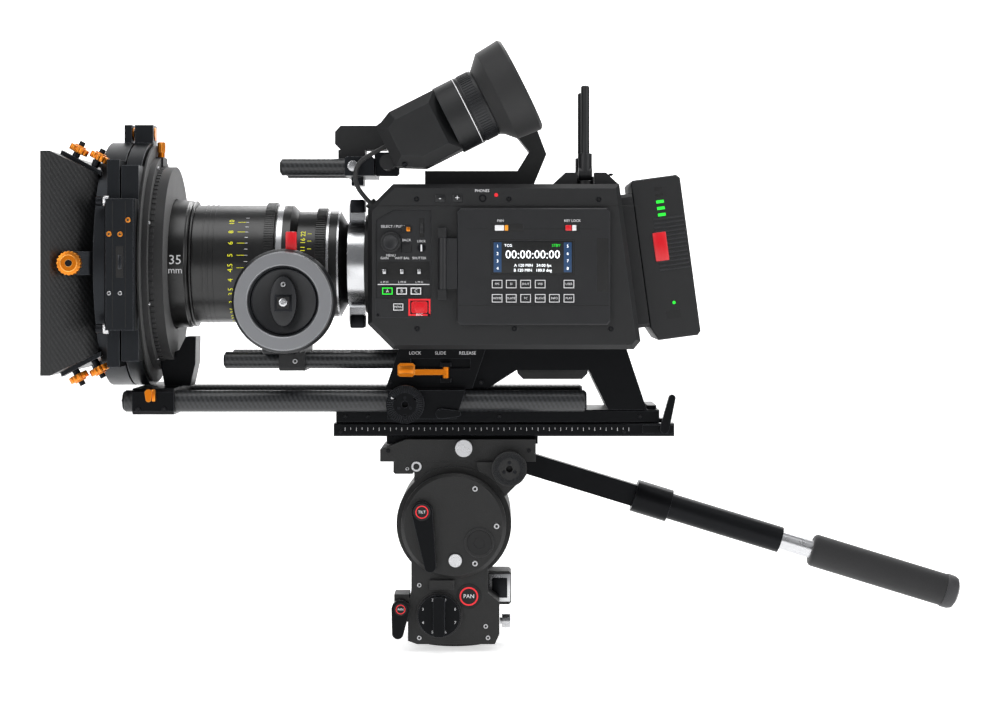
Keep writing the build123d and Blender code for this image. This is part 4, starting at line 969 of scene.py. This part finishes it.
def make_door_details():
    """The status screen, key outlines, finger recess and sliders of the monitor door."""
    face = -81.1
    trim = Piece("door_fittings", "monitor")
    trim.add(box_shape((34.2, 103.2), (face + 0.45, face + 0.95), (330.4, 358.2), 0.05), screen_black)
    for x in (38.4, 99.0):
        trim.add(box_shape((x - 3.4, x + 3.4), (face + 0.35, face + 0.5), (331.4, 357.2), 0.02), screen_blue)
        for step in range(4):
            channel = str(1 + step if x < 50 else 5 + step)
            near_words(trim, channel, 2.6, x, 353.8 - 6.4 * step, face + 0.3, screen_white)
    for words, height, x, z, ink in (
        ("00:00:00:00", 7.4, 68.8, 346.4, screen_white),
        ("TCG", 2.4, 47.6, 354.4, screen_white),
        ("STBY", 2.4, 89.0, 354.4, green_ink),
        ("A 120 MIN   24.00 fps", 2.6, 68.8, 337.2, screen_white),
        ("B 120 MIN   180.0 deg", 2.6, 68.8, 333.0, screen_white),
    ):
        near_words(trim, words, height, x, z, face + 0.38, ink)
    # The outline round the screen, the two grooves, the slider recesses and the finger recess are
    # near-black: painted shade of grooves and recesses.
    trim.add(outline_frame(72.6, 31.2, 0.7), shade_and_mark_black, (68.7, face + 0.05, 344.3))
    for x, depth, z, bevel, material in (
        ((4.6, 134.6), (0.12, 0.3), (302.4, 303.0), 0.05, shade_and_mark_black),
        ((12.0, 127.0), (0.12, 0.3), (368.6, 369.0), 0.05, shade_and_mark_black),
        ((33.4, 60.4), (0.3, 0.3), (366.2, 373.2), 0.3, shade_and_mark_black),
        ((36.0, 44.0), (1.3, 0.2), (367.3, 372.1), 0.5, white_ink),
        ((44.6, 47.6), (1.1, 0.2), (367.3, 372.1), 0.4, orange_ink),
        ((96.0, 109.6), (0.3, 0.3), (366.4, 373.0), 0.3, shade_and_mark_black),
        ((97.0, 102.2), (1.3, 0.2), (367.3, 372.1), 0.5, red_polymer),
        ((102.8, 106.4), (1.1, 0.2), (367.3, 372.1), 0.4, white_ink),
        ((124.2, 134.2), (0.15, 0.3), (314.6, 361.0), 0.5, shade_and_mark_black),
    ):
        near_plate(trim, face, x, depth, z, bevel, material)
    trim.add(box_shape((14.0, 126.0), (-75.65, -75.35), (294.0, 378.0), 0.1), screen_black)
    near_words(trim, "FAN", 2.2, 41.0, 375.8, face - 0.1)
    near_words(trim, "KEY LOCK", 2.2, 103.0, 375.8, face - 0.1)
    trim.done()
    marks = Piece("door_key_marks", "keys_door")
    names = (("FPS", "EI", "SHUT", "WB", None, "USER"), ("HOME", "SLATE", "TC", "AUDIO", "INFO", "PLAY"))
    for z, words in zip((321.2, 308.9), names):
        for x, word in zip((38.0, 50.2, 62.6, 75.2, 87.4, 100.0), words):
            if word is None:
                continue
            marks.add(outline_frame(9.0, 7.1, 0.55), white_ink, (x, -81.85, z))
            near_words(marks, word, 1.9, x, z, -82.0)
    marks.done()


make_hand_wheel()
make_follow_focus_details()
make_drive_gear_teeth()
make_shell_screws()
make_panel_details()
make_door_details()


# Rear, top and far side of the camera

REAR_LEAN = -7.7
EYEPIECE = (24.9, -55.0, 479.0)
EYEPIECE_LEAN = -26.8


def make_battery_details():
    """Charge bars, a ribbed grip band with its red release, a lamp and a blank label on each side."""
    trim = Piece("battery_fittings", "battery")
    for side in (-1, 1):
        face = side * 50.0
        depth = (face - 0.5, face + 0.5)
        for step in range(5):
            bar = box_shape((-3.4, 3.4), depth, (-1.3, 1.3), 0.3)
            trim.add(bar, green_ink if step > 1 else shade_and_mark_black, (179.3 + 0.8 * step, 0, 404.8 - 5.7 * step),
                     (0, REAR_LEAN, 0))
        for step in range(13):
            rib = box_shape((-9.0, 17.0), (face - 0.7, face + 0.7), (-0.9, 0.9), 0.4)
            trim.add(rib, door_polymer, (184.0 + 0.5 * step, 0, 379.0 - 3.7 * step), (0, REAR_LEAN, 0))
        tab = box_shape((-6.0, 6.0), (face - 1.5, face + 1.5), (-12.6, 12.6), 0.9)
        trim.add(tab, red_polymer, (181.6, 0, 354.0), (0, REAR_LEAN, 0))
        lamp = disc_shape(1.4, 0.7, 0.2, 24)
        trim.add(lamp, green_ink, (193.2, face, 304.9), NEAR if side < 0 else FAR)
        label = box_shape((-6.5, 6.5), (face - 0.1, face + 0.1), (-3.6, 3.6), 0.0)
        trim.add(label, screen_black, (192.6, 0, 294.6), (0, REAR_LEAN, 0))
    trim.done()


def make_eyepiece_details():
    """Index ring, grip ribs, release tabs, the glass in the eyecup and knurled locking knobs."""
    trim = Piece("eyepiece_fittings", "eyepiece")
    trim.add(turned_shape([(0, 30.6), (0, 31.35), (0.7, 31.35), (0.7, 30.6)], 96, True), white_ink,
             (EYEPIECE[0] - 13.3, EYEPIECE[1], EYEPIECE[2] - 6.7), (0, EYEPIECE_LEAN, 0))
    for s, y, z in ((-81, -17.4, 22.6), (-39, -15.0, 25.2)):
        tab = placed(box_shape((-4.6, 4.6), (-1.6, 1.6), (-1.0, 1.0), 0.5), (s, y, z), (34, 0, 0))
        trim.add(tab, red_polymer, EYEPIECE, (0, EYEPIECE_LEAN, 0))
    profile = [(0, 0), (0, 2.4), (1.6, 2.4), (2.0, 2.0), (2.0, 1.2), (1.2, 1.0), (1.2, 0)]
    for s, z in ((-84, -18), (-84, 18), (-42, -18), (-42, 18)):
        head = placed(turned_shape(profile, 24), turn=NEAR)
        placed(head, (s, -21.4, z), (40 if z < 0 else -40, 0, 0))
        trim.add(head, screw_black, EYEPIECE, (0, EYEPIECE_LEAN, 0))
    glass = turned_shape([(-32.0, 0), (-32.0, 20.6), (-30.5, 20.6), (-28.8, 12), (-28.2, 0)], 64)
    trim.add(glass, lens_glass_coat, EYEPIECE, (0, EYEPIECE_LEAN, 0))
    trim.done()
    ring = Piece("dioptre_grip", "dioptre")
    toothed_rim(ring, door_polymer, -10.4, 10.6, 30.5, 72, 0.55, EYEPIECE, (0, EYEPIECE_LEAN, 0))
    ring.done()
    knobs = Piece("eyepiece_arm_fittings", "camera")
    knobs.add(fluted_shape(4.8, 5.0, 20, 0.35, 0.5), stainless, (-88.5, -46.5, 424.6), NEAR)
    knobs.add(fluted_shape(4.8, 5.0, 20, 0.35, 0.5), stainless, (-88.5, 46.5, 424.6), FAR)
    for x in (-92.6, -74.6):
        for y in (-36, 36):
            hex_screw(knobs, (x, y, 432.8), (0, -90, 0), 1.8, screw_black)
    for y in (-30, 30):
        knobs.add(disc_shape(5.4, 1.2, 0.4), screw_black, (-154.3, y, 424.6))
    knobs.done()


def make_far_side_details():
    """Cooling slots, connectors under dust caps and a card door on the far side of the camera."""
    trim = Piece("far_side_fittings", "camera")
    # The cooling slots are thin near-black boxes: painted shade in the slots.
    for step in range(12):
        x = 20 + step * 6.5
        trim.add(box_shape((x, x + 3.2), (74.7, 75.25), (322, 376), 0.2), shade_and_mark_black)
    trim.add(box_shape((-58, 4), (74.2, 77.2), (300, 380), 1.4), door_polymer)
    trim.add(box_shape((-4, 1.5), (76.8, 78.2), (330, 350), 0.6), red_polymer)
    for step, radius in enumerate((5.4, 5.4, 7.0, 7.0)):
        profile = [(0, 0), (0, radius), (3.0, radius), (3.6, radius - 0.8), (3.6, radius - 2),
                   (1.2, radius - 2.4), (1.2, 0)]
        place = (112 + 9 * (step % 2), 74.6, 306 + 26 * (step // 2))
        trim.add(turned_shape(profile, 40), screw_black, place, FAR)
    trim.done()


# Base plates


def rosette_teeth(piece, place, turn, radius):
    """The ring of radial teeth of a rosette, with three screws around a bright centre."""
    for step in range(48):
        tooth = box_shape((0, 0.7), (radius * 0.62, radius - 1.0), (-0.32, 0.32), 0.0)
        piece.add(placed(tooth, turn=(7.5 * step, 0, 0)), black_anodised, place, turn)
    circle = 0.36 * radius
    for step in range(3):
        angle = radians(90 + 120 * step)
        screw = placed(disc_shape(1.5, 0.6, 0.2, 24), (-0.1, circle * cos(angle), circle * sin(angle)))
        piece.add(screw, screw_black, place, turn)


def make_base_details():
    """Rosette teeth, plate screws, the quick-release words, and the dovetail's scale in 5 mm steps."""
    trim = Piece("bridge_fittings", "bridge")
    for y, turn in ((-82.0, NEAR), (82.0, FAR)):
        rosette_teeth(trim, (-41.6, y, 217.2), turn, 16.4)
    trim.add(disc_shape(1.2, 0.4, 0.1), white_ink, (-52.6, -81.9, 222.5), NEAR)
    for x, words in ((-34.0, "LOCK"), (-11.8, "SLIDE"), (12.0, "RELEASE")):
        near_words(trim, words, 2.9, x, 260.4, -50.1)
    side_screws(trim, ((-56.0, 234.5), (24.0, 234.5)), 50.0, 2.0, screw_black)
    side_screws(trim, [(x, 204.2) for x in (-96, -76, 40, 164)], 40.0, 1.9, screw_black)
    trim.done()
    lever = Piece("quick_release_lever_tip", "quick_release")
    lever.add(box_shape((-48.0, -35.0), (-58.2, -57.4), (242.6, 249.4), 0.5), orange_anodised)
    lever.done()
    plate = Piece("dovetail_fittings", "dovetail")
    for step in range(51):
        x = -96 + 5 * step
        tall = 3.0 if step % 2 == 0 else 1.8
        plate.add(box_shape((x - 0.15, x + 0.15), (-42.12, -41.8), (194.6 - tall, 194.6), 0.0), white_ink)
    side_screws(plate, ((-100, 191.0), (150, 191.0)), 42.0, 1.6, screw_black)
    plate.done()


# Fluid head


def dial_mark(piece, words, place, radius, height):
    """A round black label with a red ring and a white word."""
    x, y, z = place
    piece.add(disc_shape(radius, 0.7, 0.2), shade_and_mark_black, (x, y + 0.3, z), NEAR)
    inner, outer = radius * 0.62, radius * 0.74
    ring = [(0.6, inner), (0.85, inner), (0.85, outer), (0.6, outer)]
    # The red ring glows: painted glow on printed ink.
    near_knob(piece, ring, red_glowing_print_and_lamp, (x, y + 0.3, z), 64, True)
    near_words(piece, words, height, x, z, y - 0.5)


def make_head_details():
    """Labels, cover screws, rosette teeth, the level's screw and the bright clasp of the head."""
    trim = Piece("head_base_fittings", "pan_body")
    circle, tilt_axis = 37.5, 110.4
    for step in range(6):
        x = circle * cos(radians(60 * step))
        z = tilt_axis + circle * sin(radians(60 * step))
        behind_lever = x < -15 and z > 105
        if not behind_lever:
            side_screws(trim, ((x, z),), 66.0, 2.4)
    near_knob(trim, [(0, 0), (0, 11.0), (0.8, 10.6), (0.8, 5.0), (0.4, 4.6), (0.4, 0)], shade_and_mark_black,
              (22.5, -67.4, 96.0))
    dial_mark(trim, "PAN", (13.3, -58.2, 48.2), 11.0, 3.6)
    clasp = box_shape((30.6, 49.8), (-17.2, -15.6), (37.4, 62.4), 0.7)
    trim.add(clasp, stainless)
    trim.add(box_shape((33.4, 47.0), (-17.7, -16.8), (41.0, 58.8), 0.6), screw_black)
    for x, z in ((-30, 12), (30, 12), (-30, 58), (28, 22)):
        hex_screw(trim, (x, -57.8, z), NEAR, 2.0)
    trim.done()
    lever = Piece("tilt_brake_label", "tilt_brake")
    dial_mark(lever, "TILT", (-27.2, -73.5, 123.4), 7.6, 2.5)
    lever.done()
    lever = Piece("pan_brake_label", "pan_brake")
    dial_mark(lever, "PAN", (-46.0, -66.5, 38.0), 5.6, 1.9)
    lever.done()
    knob = Piece("pan_drag_marks", "pan_drag")
    toothed_rim(knob, door_polymer, 0.6, 3.0, 18.2, 60, 0.5, (-12.6, -60.3, 31.9), NEAR)
    circle = 15.2
    for step in range(8):
        angle = radians(45 * step + 22.5)
        near_words(knob, str(step), 2.4, -12.6 + circle * cos(angle), 31.9 + circle * sin(angle), -64.45)
    knob.done()
    top = Piece("tilt_head_fittings", "tilt_head")
    for y, turn in ((-62.0, NEAR), (62.0, FAR)):
        rosette_teeth(top, (48.7, y, 159.7), turn, 15.2)
    hex_screw(top, (-41.0, -44.9, 158.6), NEAR, 1.6)
    near_knob(top, [(0, 2.6), (1.2, 2.8), (1.2, 4.4), (0, 4.6)], stainless, (-33.0, -44.9, 160.5), 40, True)
    side_screws(top, ((-58, 174.5), (66, 174.5)), 45.0, 1.8, screw_black)
    top.done()


make_battery_details()
make_eyepiece_details()
make_far_side_details()
make_base_details()
make_head_details()


def make_pan_bar_end():
    """A paler moulded cap that closes the foam grip."""
    droop, reach = 17, 423.0
    cap = Piece("grip_end_cap", "pan_bar_reach")
    profile = [(0, 14.0), (0, 15.4), (1.0, 15.8), (7.0, 15.6), (10.5, 14.2), (12.6, 10.0), (13.4, 0)]
    place = (48.7 + reach * cos(radians(droop)), 69.3, 159.7 - reach * sin(radians(droop)))
    cap.add(turned_shape(profile, 64), grip_cap_rubber, place, (0, droop, 0))
    cap.done()


make_pan_bar_end()
